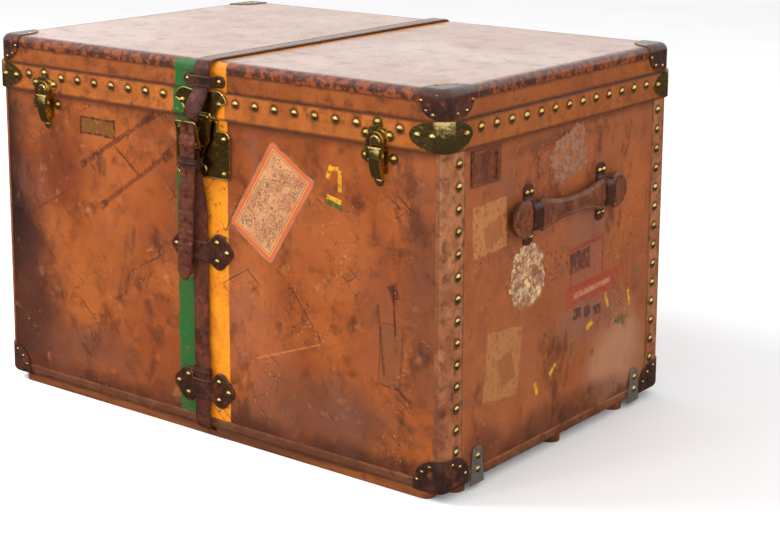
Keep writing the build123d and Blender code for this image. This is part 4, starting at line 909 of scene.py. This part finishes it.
def build_strap():
    """Strap round the trunk: a body part, a lid part and a straight piece joining them up the
    back.
    """
    front = smooth_path(in_mm([
        (-6, -286, 403), (-6, -286, 392), (-5.5, -285.4, 380), (-3, -282.6, 362),
        (-1, -280.2, 345), (-0.2, -278.2, 325), (0, -277.5, 300), (0, -277.4, 180),
        (0, -277.4, 60), (0, -277.4, 26), (0, -275.6, 15), (0, -268, 10.4), (0, -255, 10),
        (0, -243, 10), (0, 0, 10), (0, 248, 10), (0, 262, 10), (0, 273, 11), (0, 278.4, 17),
        (0, 279.2, 30)]))
    lower = make_piece("strap_front", *ribbon(front, STRAP_HALF, STRAP_THICK, toward_core,
                                              wobble=0.25 * MM), STRAP_HIDE, "root", "strap_hide")
    over = smooth_path(in_mm([
        (-2, -292, 447.8), (1, -290.4, 461), (6.5, -285.8, 475), (9.6, -282.2, 489),
        (10.5, -281.5, 505), (10.5, -280.6, 516), (10.4, -275.5, 523.6), (10.2, -266, 525.6),
        (10, -250, 525.8), (9.8, -238, 525.8), (5, 0, 525.8), (0.8, 244, 525.8),
        (0.6, 258, 525.7), (0.3, 270, 524.6), (0, 277.6, 518), (0, 279.2, 507),
        (0, 279.2, 486)]))
    top = make_piece("strap_over_lid", *ribbon(over, STRAP_HALF, STRAP_THICK, toward_core,
                                               wobble=0.2 * MM), TOP_STRAP_HIDE, "lid",
                     "strap_hide")
    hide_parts("strap_lid")
    behind = smooth_path([(0, BACK_STRAP_Y, z * MM) for z in (30, 200, 380, 430, 447, 465, 486)],
                         2 * MM)
    back = make_piece("strap_back", *ribbon(behind, STRAP_HALF, STRAP_THICK, toward_core),
                      STRAP_HIDE, None, "strap_hide")
    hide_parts("strap_lower")
    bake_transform(back)


HOLE_HEIGHTS = tuple(z * MM for z in (272, 305, 338, 371, 404))
PRONG_SLOT_Z = 431.5 * MM


def build_tail():
    """Free end of the strap: pointed tip, punched holes and the slot for the prong."""
    line = smooth_path(in_mm([
        (-23.5, -286.3, 221), (-22.8, -286.6, 240), (-20.5, -287.4, 265), (-18.5, -287.2, 290),
        (-16, -289.0, 320), (-12, -290.6, 350), (-8, -293.1, 380), (-7, -294.7, 411),
        (-7, -294.2, 425), (-6, -293, 444)]), 1.5 * MM)
    columns = 19
    loops = []
    for k, here in enumerate(line):
        t = k / (len(line) - 1)
        half = STRAP_HALF * min(1.0, 0.34 + t * 12.0) * (1 + 0.03 * math.sin(t * 37))
        crinkle = 0.35 * MM * math.sin(here[2] * 300) + 0.3 * MM * math.sin(here[2] * 710 + 1)
        face, rear = [], []
        for i in range(columns):
            s = 2 * i / (columns - 1) - 1
            x = here[0] + s * half
            cup = 0.9 * MM * s * s
            edge = 0.9 * MM * max(0.0, abs(s) - 0.86) / 0.14
            depth = 0.0
            for hole in HOLE_HEIGHTS:
                far = math.hypot((x - here[0]) / 1.9, (here[2] - hole) / 4.2) / MM
                depth = max(depth, 2.4 * MM * (1 - min(1.0, max(0.0, (far - 0.75) / 0.5))))
            slot = math.hypot((x - here[0]) / 2.6, (here[2] - PRONG_SLOT_Z) / 9.0) / MM
            depth = max(depth, 2.6 * MM * (1 - min(1.0, max(0.0, (slot - 0.85) / 0.3))))
            y = here[1] + crinkle * (0.4 + abs(s)) + cup
            face.append((x, y - STRAP_THICK / 2 + edge + depth, here[2]))
            rear.append((x, y + STRAP_THICK / 2 - edge * 0.4, here[2]))
        loops.append(face + rear[::-1])
    tail = make_piece("strap_end", *skin(loops), STRAP_HIDE, "root", "strap_hide")
    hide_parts("strap_tail")


def hoop(middle, half_x, half_y, tall, thick, crumple):
    """Loose band of leather round a strap."""
    loops = []
    steps = 56
    for k in range(steps):
        turn = 2 * math.pi * k / steps
        c, s = math.cos(turn), math.sin(turn)
        x = middle.x + half_x * math.copysign(abs(c) ** 0.35, c)
        y = middle.y + half_y * math.copysign(abs(s) ** 0.35, s)
        out = Vector((c, s, 0)).normalized()
        droop = crumple * math.sin(turn * 5)
        loop = []
        for a, o in strap_section(tall / 2, thick):
            dent = 0.6 * crumple * math.sin(turn * 9 + a * 500)
            loop.append(Vector((x, y, middle.z + a + droop)) + out * (o + dent))
        loops.append(loop)
    return skin(loops, ring=True)


def build_strap_loops():
    """Loop under the buckle and a small one above the lowest keeper."""
    low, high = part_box("strap_loop")
    shape = hoop((low + high) / 2, (high.x - low.x) / 2 - 1.2 * MM,
                 (high.y - low.y) / 2 - 1.2 * MM, 12 * MM, 2.2 * MM, 0.5 * MM)
    piece = make_piece("strap_keeper_loop", *shape, LOOP_HIDE, "root", "strap_hide")
    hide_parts("strap_loop")
    keeper_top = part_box("keeper_low")[1].z
    shape = hoop(Vector((0, FRONT - 5.2 * MM, keeper_top - 1 * MM)), 15.4 * MM, 3.4 * MM,
                 11 * MM, 2 * MM, 0.4 * MM)
    make_piece("strap_bottom_loop", *shape, LOOP_HIDE, "root", "strap_hide")


build_strap()
build_tail()
build_strap_loops()

# ---- Keepers ---------------------------------------------

# Across from the middle, then half height or lift off the front, in millimetres
KEEPER_HEIGHTS = ((0, 14), (14, 14), (17, 15.5), (20, 19), (23, 23), (27, 25), (33, 25),
                  (38, 23), (46, 15), (52, 8.5), (55, 5), (56, 2))
KEEPER_LIFT = ((0, 9.4), (14, 9.4), (17.5, 8.4), (20, 5), (23, 3.4), (27, 3), (56, 3))
TOP_KEEPER_LIFT = ((0, 14), (17, 14), (19.5, 13), (21, 8), (22.5, 3.6), (25, 3), (37, 3))


def reading(table, value):
    """Value read off a table between its points."""
    return float(np.interp(value, [a for a, _ in table], [b for _, b in table]))


def tab(stations, columns, half_at, reach, place, relief):
    """Leather tab on the front: `relief` gives the height of its face and of its back there."""
    loops = []
    for x in stations:
        half = half_at(x)
        front, rear = [], []
        for i in range(columns):
            s = 2 * i / (columns - 1) - 1
            to_edge = min(half * (1 - abs(s)), reach(x))
            height, under = relief(x, s, to_edge)
            px, pz = place(x, s * half)
            front.append((px, FRONT - height * MM, pz))
            rear.append((px, FRONT - under * MM, pz))
        loops.append(front + rear[::-1])
    return skin(loops)


def build_keeper(node, name):
    """Bow-tie leather tab with raised rims, bridged over the strap."""
    low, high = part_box(node)
    middle = (low.z + high.z) / 2

    def relief(x, s, to_edge):
        lift = reading(KEEPER_LIFT, abs(x))
        rim = 0.55 * math.exp(-((to_edge - 2.6) / 1.1) ** 2)
        roll = 1.3 * max(0.0, 1 - to_edge / 1.4) ** 2
        crease = 0.35 * math.exp(-((abs(x) - 19) / 1.2) ** 2)
        fold = 0.25 * math.sin(x * 0.9) * math.sin(s * 9) if abs(x) < 18 else 0.0
        height = max(lift - 0.5 + rim - roll - crease + fold, 1.2)
        under = 0.05 if abs(x) > 20 else max(lift - 3.2, 0.05)
        return height, min(under, height - 0.8)

    def place(x, up):
        tilt = 1.2 * max(0.0, abs(x) - 30) / 26
        return x * MM, middle + (up + tilt) * MM

    shape = tab(sorted({s * x for x in np.arange(0, 56.01, 1.0) for s in (-1, 1)}), 25,
                lambda x: reading(KEEPER_HEIGHTS, abs(x)), lambda x: (56 - abs(x)) * 1.2,
                place, relief)
    piece = make_piece(name, *shape, CAP_HIDE, "root", "strap_hide")
    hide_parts(node)


def build_top_keeper():
    """Keeper on the lid: a folded leather tongue with rounded riveted feet."""
    low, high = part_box("keeper_top")
    middle = (low + high) / 2

    def relief(x, s, to_edge):
        lift = reading(TOP_KEEPER_LIFT, abs(x))
        rim = 0.4 * math.exp(-((to_edge - 1.8) / 0.8) ** 2)
        roll = 1.2 * max(0.0, 1 - to_edge / 1.3) ** 2
        height = lift - 0.4 + rim - roll + 0.2 * math.sin(x * 0.7 + s * 2)
        return height, 0.05 if abs(x) > 22 else max(lift - 3.2, 0.05)

    shape = tab(np.arange(-37, 37.01, 1.0), 17,
                lambda x: 8.0 * math.sqrt(max(0.02, 1 - max(0.0, (abs(x) - 29.5) / 7.6) ** 2)),
                lambda x: 37.5 - abs(x),
                lambda x, up: (middle.x + x * MM, middle.z + up * MM), relief)
    piece = make_piece("lid_strap_keeper", *shape, CAP_HIDE, "lid", "strap_hide")
    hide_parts("keeper_top")


build_keeper("keeper_mid", "keeper_middle_tab")
build_keeper("keeper_low", "keeper_bottom_tab")
build_top_keeper()

# ---- Side handles ----------------------------------------

# Sizes of the grip in millimetres: distance from its middle, then half height
HANDLE_Z = 339
GRIP_OUTLINE = ((0, 12.5), (20, 13), (40, 15), (60, 18.5), (70, 21.5), (75, 22.4), (79, 20),
                (82, 16), (85, 15), (97, 15), (100, 16.5), (103, 21), (106, 24))
END_CENTRE, END_RADIUS, HANDLE_HALF = 113.5, 25.5, 139.0


def grip_half(y):
    """Half height of the grip at a distance from its middle, in millimetres."""
    if y > 106:
        return math.sqrt(max(0.3, END_RADIUS**2 - (y - END_CENTRE) ** 2))
    return reading(GRIP_OUTLINE, y)


def grip_full(y):
    """Half thickness of the grip: fuller between the loops."""
    return 4.4 if abs(y) > 79 else 4.4 + 1.2 * math.cos(abs(y) / 79 * math.pi / 2)


def build_handle(side, name):
    """Dog-bone grip of stitched leather layers, fuller in the middle."""
    low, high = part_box(f"handle_{name}")
    centre_x = (low.x + high.x) / 2
    sections = 40
    loops = []
    reach = np.concatenate([np.arange(0, 106, 1.5), np.linspace(106, 138.9, 26)])
    stations = sorted({round(float(s * y), 3) for y in reach for s in (-1, 1)})
    for y in stations:
        half = grip_half(abs(y))
        full = grip_full(y) * min(1.0, 0.45 + (HANDLE_HALF - abs(y)) / 6)
        loop = []
        for i in range(sections):
            turn = 2 * math.pi * i / sections
            c, s = math.cos(turn), math.sin(turn)
            bulge = math.copysign(abs(c) ** 0.55, c)
            rise = math.copysign(abs(s) ** 0.75, s)
            inset = half * (1 - abs(rise))
            groove = 0.45 * math.exp(-((inset - 2.4) / 0.8) ** 2) if c > 0 else 0.0
            wave = 0.2 * math.sin(y * 0.35 + s * 2)
            x = centre_x + side * (full * bulge - groove + wave * max(c, 0)) * MM
            loop.append((x, y * MM, (HANDLE_Z + rise * half) * MM))
        loops.append(loop)
    grip = make_piece(f"grip_{name}", *skin(loops), HANDLE_HIDE, f"handle_{name}", "strap_hide")
    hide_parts(f"handle_{name}")
    build_stitches(side, name, centre_x)


def build_stitches(side, name, centre_x):
    """Row of saddle stitches round the edge of the grip."""
    outline = []
    for y in np.arange(-135.5, 135.6, 0.5):
        half = grip_half(abs(y)) - 4.4
        if half > 2 and not 78 < abs(y) < 103:
            outline.append((y, half))
    parts = []
    last = None
    for y, half in outline:
        if last is not None and math.hypot(y - last[0], half - last[1]) < 4.6:
            continue
        last = (y, half)
        slope = grip_half(abs(y + 0.5)) - grip_half(abs(y - 0.5))
        for sign in (-1, 1):
            place = Vector((centre_x + side * (grip_full(y) - 0.75) * MM, y * MM,
                            (HANDLE_Z + sign * half) * MM))
            along = Vector((0, 1, sign * slope)).normalized()
            parts.append(stitch(place, along, Vector((side, 0, 0))))
    make_piece(f"grip_{name}_stitches", *join(parts), THREAD, f"handle_{name}", "strap_hide")


def stitch(place, along, out, length=3.2 * MM, radius=0.55 * MM):
    """One stitch: a short thread that dips in at both ends."""
    across = out.cross(along)
    loops = []
    for k in range(7):
        t = k / 6 * 2 - 1
        spread = radius * math.sqrt(max(0.08, 1 - t * t))
        middle = place + along * (length / 2 * t) + out * (radius * 0.6 * (1 - t * t))
        loops.append([middle + across * spread * math.cos(a) + out * spread * math.sin(a)
                      for a in (2 * math.pi * i / 8 for i in range(8))])
    return skin(loops)


# Round the grip: distance off the end of the box and height from its middle, in millimetres
LOOP_PATH = ((1.3, 40), (1.3, 33), (1.5, 24), (3.2, 19.2), (9, 17.4), (15, 16.6), (18.2, 13.5),
             (18.9, 8), (18.9, 0), (18.9, -8), (18.2, -13.5), (15, -16.6), (9, -17.4),
             (3.2, -19.2), (1.5, -24), (1.3, -33), (1.3, -40))


def round_ends(t):
    """Share of the full width of a loop, narrowed at its two feet."""
    return 1.0 - 0.5 * max(0.0, abs(t - 0.5) - 0.47) / 0.03


def build_handle_loops():
    """Leather loops, two on each side, that hold the grips."""
    parts = []
    for side in (-1, 1):
        for y in (-90 * MM, 90 * MM):
            path = smooth_path([(side * (RIGHT + out * MM), y, (HANDLE_Z + rise) * MM)
                                for out, rise in LOOP_PATH], 1.5 * MM)
            inside = (side * (RIGHT + 2 * MM), y, HANDLE_Z * MM)

            def back_of(point, inside=inside, side=side):
                if abs(point[2] - inside[2]) > 24 * MM:
                    return point[0] - side, point[1], point[2]
                return inside

            parts.append(ribbon(path, 11 * MM, 2.6 * MM, back_of, round_ends, 0.15 * MM))
    piece = make_piece("handle_strap_loops", *join(parts), LOOP_HIDE, "root", "strap_hide")
    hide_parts("handle_loops")


for side, name in ((-1, "left"), (1, "right")):
    build_handle(side, name)
build_handle_loops()

# ---- CAD parts that stay: finish and softened edges ------


def finish_node(node, material, bevel, segments):
    """Give a CAD node its material, and round its edges a little."""
    piece = NODES[node]
    piece.data.materials.clear()
    piece.data.materials.append(material)
    if bevel:
        weld = piece.modifiers.new("weld", "WELD")
        weld.merge_threshold = 1e-5
        rounding = piece.modifiers.new("edge", "BEVEL")
        rounding.width = bevel
        rounding.segments = segments
        rounding.limit_method = "ANGLE"
        rounding.angle_limit = math.radians(40)
        rounding.use_clamp_overlap = True
        rounding.harden_normals = True


FINISHES = (
    (BOARD_WOOD, 0.0, 2, "front_board back_board left_board right_board floor_board lid_top_board"
                         " lid_front_board lid_back_board lid_end_boards"),
    (LINEN, 0.0, 2, "body_lining lid_lining tray"),
    (RUNNER_WOOD, 1.0, 2, "front_runner base_slats tray_ledges"),
    (BRASS, 0.4, 2, "hinge_body_leaves hinge_lid_leaves hinge_pins lock_barrel buckle_prong"),
    (DARK_BRASS, 0.5, 3, "lock_plate hasp_plate"),
    (DARK_BRASS, 0.7, 3, "hasp_tongue"),
    (BRASS, 0.5, 3, "latch_plate_left latch_plate_right latch_lever_left latch_lever_right"
                    " latch_bail_left latch_bail_right latch_hook_left latch_hook_right"
                    " brass_corners"),
    (BRASS, 1.2, 3, "buckle_frame"),
    (BODY_HIDE, 0.0, 2, "body_leather"),
    (LID_SIDE_HIDE, 0.0, 2, "lid_leather_sides"),
    (LID_TOP_HIDE, 0.0, 2, "lid_leather_top"),
    (BAND_HIDE, 0.0, 2, "lid_band"),
    (STRIP_HIDE, 0.0, 2, "corner_strips base_binding"),
    (HANDLE_HIDE, 0.4, 2, "address_frame"),
    (CAP_HIDE, 0.6, 2, "base_caps lid_caps"),
    (STEEL, 0.6, 2, "slat_brackets"),
    (STRAP_HIDE, 0.8, 2, "tray_pulls"),
)
for material, bevel, segments, nodes in FINISHES:
    for node in nodes.split():
        finish_node(node, material, bevel * MM, segments)

# ---- Bright rims on the flat brass -----------------------


def front_outlines(node):
    """Closed edge lines of the foremost flat faces of a CAD node, as lists of points."""
    work = bmesh.new()
    work.from_mesh(NODES[node].data)
    bmesh.ops.remove_doubles(work, verts=work.verts, dist=1e-6)
    front = max((f.calc_area(), -f.calc_center_median().y) for f in work.faces
                if f.normal.y < -0.99)[1]
    flat = [f for f in work.faces
            if f.normal.y < -0.99 and abs(f.calc_center_median().y + front) < 0.05 * MM]
    follow = {}
    for face in flat:
        for loop in face.loops:
            if not any(other in flat for other in loop.edge.link_faces if other is not face):
                follow[loop.vert] = loop.link_loop_next.vert
    outlines = []
    while follow:
        start, here = follow.popitem()
        line = [start.co.copy()]
        while here in follow and here is not start:
            line.append(here.co.copy())
            here = follow.pop(here)
        outlines.append(line)
    work.free()
    return outlines


def evenly(line, step):
    """Points at even steps along a closed line."""
    points, left = [], 0.0
    for a, b in zip(line, line[1:] + line[:1]):
        length = (b - a).length
        while left < length:
            points.append(a + (b - a) * (left / length))
            left += step
        left -= length
    return points


def bead(points, radius, inset, sides=8):
    """Half-sunk round bead just inside a closed line on a front face."""
    count = len(points)
    loops = []
    for k, here in enumerate(points):
        along = (points[(k + 1) % count] - points[(k - 1) % count]).normalized()
        out = Vector((0, -1, 0))
        inward = out.cross(along).normalized()
        middle = here + inward * inset
        loops.append([middle + (inward * math.cos(a) + out * math.sin(a)) * radius
                      for a in (2 * math.pi * i / sides for i in range(sides))])
    return skin(loops, ring=True)


def add_rims(node, body, radius, inset):
    """Bright raised edge round the front of a flat brass plate."""
    parts = [bead(evenly(line, 1.2 * MM), radius, inset) for line in front_outlines(node)
             if len(line) > 2]
    make_piece(node + "_rim", *join(parts), NAIL_BRASS, body, "brass")


add_rims("lock_plate", "root", 1.1 * MM, 0.2 * MM)
add_rims("hasp_plate", "lid", 1.1 * MM, 1.0 * MM)

# ---- Paper labels ------------------------------


PAPER_LIFT = 0.25 * MM


def on_face(face, along, up, lift):
    """Point just off the front, or off the right end, of the box."""
    return (along, FRONT - lift, up) if face == "front" else (RIGHT + lift, along, up)


def scrap(name, face, centre, half, turn, material, ragged, square, sides):
    """Thin paper on a face: a squarish or round patch with an uneven edge."""
    c, s = math.cos(turn), math.sin(turn)
    phase = [random.uniform(0, 6) for _ in range(4)]
    flat, faces = [(0.0, 0.0)], []
    rings = 5
    for ring in range(1, rings + 1):
        for i in range(sides):
            angle = 2 * math.pi * i / sides
            ca, sa = math.cos(angle), math.sin(angle)
            reach = (abs(ca) ** square + abs(sa) ** square) ** (-1 / square)
            wave = sum(math.sin(angle * n + p) / 4 for n, p in zip((3, 7, 13, 23), phase))
            reach *= ring / rings * (1 + ragged * wave)
            flat.append((reach * ca * half[0] * MM, reach * sa * half[1] * MM))
    for i in range(sides):
        j = (i + 1) % sides
        faces.append((0, 1 + i, 1 + j))
        for ring in range(rings - 1):
            a, b = 1 + ring * sides, 1 + (ring + 1) * sides
            faces.append((a + i, b + i, b + j, a + j))
    mesh = bpy.data.meshes.new(name)
    mesh.from_pydata([on_face(face, centre[0] * MM + u * c - v * s,
                              centre[1] * MM + u * s + v * c, PAPER_LIFT) for u, v in flat],
                     [], faces)
    mesh.materials.append(material)
    layer = mesh.uv_layers.new(name="flat")
    for loop in mesh.loops:
        layer.data[loop.index].uv = flat[loop.vertex_index]
    piece = bpy.data.objects.new(name, mesh)
    bpy.context.scene.collection.objects.link(piece)
    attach(piece, "root")


LABEL_HALF = (43, 71)
LABEL_RULES = ((0.8, 2.0, tone(110, 44, 18)), (2.6, 7.0, tone(188, 66, 18)),
               (7.0, 8.2, tone(204, 136, 44)), (8.6, 9.6, tone(110, 44, 20)))


def build_labels():
    """One travel label on the front and two worn ones on the right end."""
    travel = paper("travel_label", tone(190, 136, 90), LABEL_RULES, tone(74, 34, 20),
                   [side * MM for side in LABEL_HALF], 11)
    scrap("travel_label_front", "front", (124, 347), LABEL_HALF, -0.56, travel, 0.012, 40.0, 160)
    torn = old_paper("torn_grey_paper", tone(134, 104, 84), tone(150, 84, 46))
    scrap("torn_grey_label", "right", (12, 403), (44, 32), 0.32, torn, 0.16, 4.0, 96)
    cream = old_paper("round_cream_paper", tone(206, 168, 120), tone(72, 76, 80))
    scrap("round_label", "right", (-86, 256), (40, 44), 0.0, cream, 0.12, 2.4, 96)


build_labels()

# ---- Stage, light and camera -----------------------------


FLOOR_REACH = 30.0


def build_stage():
    """Plain pale floor."""
    f = Finish("pale_floor")
    colour = f.mix(f.ramp(f.noise(3, 3.0), 0.3, 0.7), (0.93, 0.93, 0.93, 1), (0.95, 0.95, 0.95, 1))
    material = f.done(colour, 0.9, Specular_IOR_Level=0.1)
    mesh = bpy.data.meshes.new("floor")
    mesh.from_pydata([(x * FLOOR_REACH, y * FLOOR_REACH, 0)
                      for x, y in ((-1, -1), (1, -1), (1, 1), (-1, 1))], [], [(0, 1, 2, 3)])
    mesh.materials.append(material)
    floor = bpy.data.objects.new("floor", mesh)
    bpy.context.scene.collection.objects.link(floor)
    floor.visible_glossy = False


def build_world():
    """Bright sky above, dark below, so that upright metal and leather stay deep in colour."""
    world = bpy.data.worlds.new("studio")
    n = Nodes(world)
    place = n.node("ShaderNodeTexCoord").outputs["Generated"]
    height = n.math("MULTIPLY_ADD", n.split(place)[2], 0.5, 0.5)
    ramp = n.node("ShaderNodeValToRGB", (0, height))
    for stop, position, colour in zip(ramp.color_ramp.elements, (0.46, 0.57),
                                      ((0.06, 0.05, 0.045, 1), (1, 1, 1, 1))):
        stop.position = position
        stop.color = colour
    background = n.node("ShaderNodeBackground", (0, ramp.outputs[0]), (1, 0.92))
    n.node("ShaderNodeOutputWorld", (0, background.outputs[0]))
    bpy.context.scene.world = world


def area_light(name, place, aim, size, power, glint=False):
    """Soft round lamp; only a glint lamp shows in reflections."""
    light = bpy.data.lights.new(name, "AREA")
    light.shape = "DISK"
    light.size = size
    light.energy = power
    lamp = bpy.data.objects.new(name, light)
    lamp.location = place
    lamp.rotation_euler = (Vector(aim) - Vector(place)).to_track_quat("-Z", "Y").to_euler()
    lamp.visible_glossy = glint
    bpy.context.scene.collection.objects.link(lamp)


def build_camera():
    """Long lens from the front right, a little above the lid."""
    camera = bpy.data.cameras.new("camera")
    camera.lens = 81.33
    camera.sensor_width = 36.0
    camera.shift_y = -0.17
    camera.clip_end = 100
    place = Vector((1.6134, -1.9543, 0.8728))
    aim = Vector((0.0618, 0.0606, 0.3807))
    roll = math.radians(0.30)
    eye = bpy.data.objects.new("camera", camera)
    turn = (aim - place).to_track_quat("-Z", "Y").to_matrix().to_4x4()
    eye.matrix_world = Matrix.Translation(place) @ turn @ Matrix.Rotation(roll, 4, "Z")
    bpy.context.scene.collection.objects.link(eye)
    bpy.context.scene.camera = eye


build_stage()
build_world()
area_light("key", (-2.4, -1.6, 2.4), (0, 0, 0.25), 1.8, 122)
area_light("fill", (2.8, -1.6, 1.3), (0.1, 0, 0.3), 2.4, 46)
area_light("glint", (-0.6, -2.6, 1.7), (0, -0.2, 0.4), 0.5, 9, True)
build_camera()
bpy.context.scene.view_settings.view_transform = "Standard"
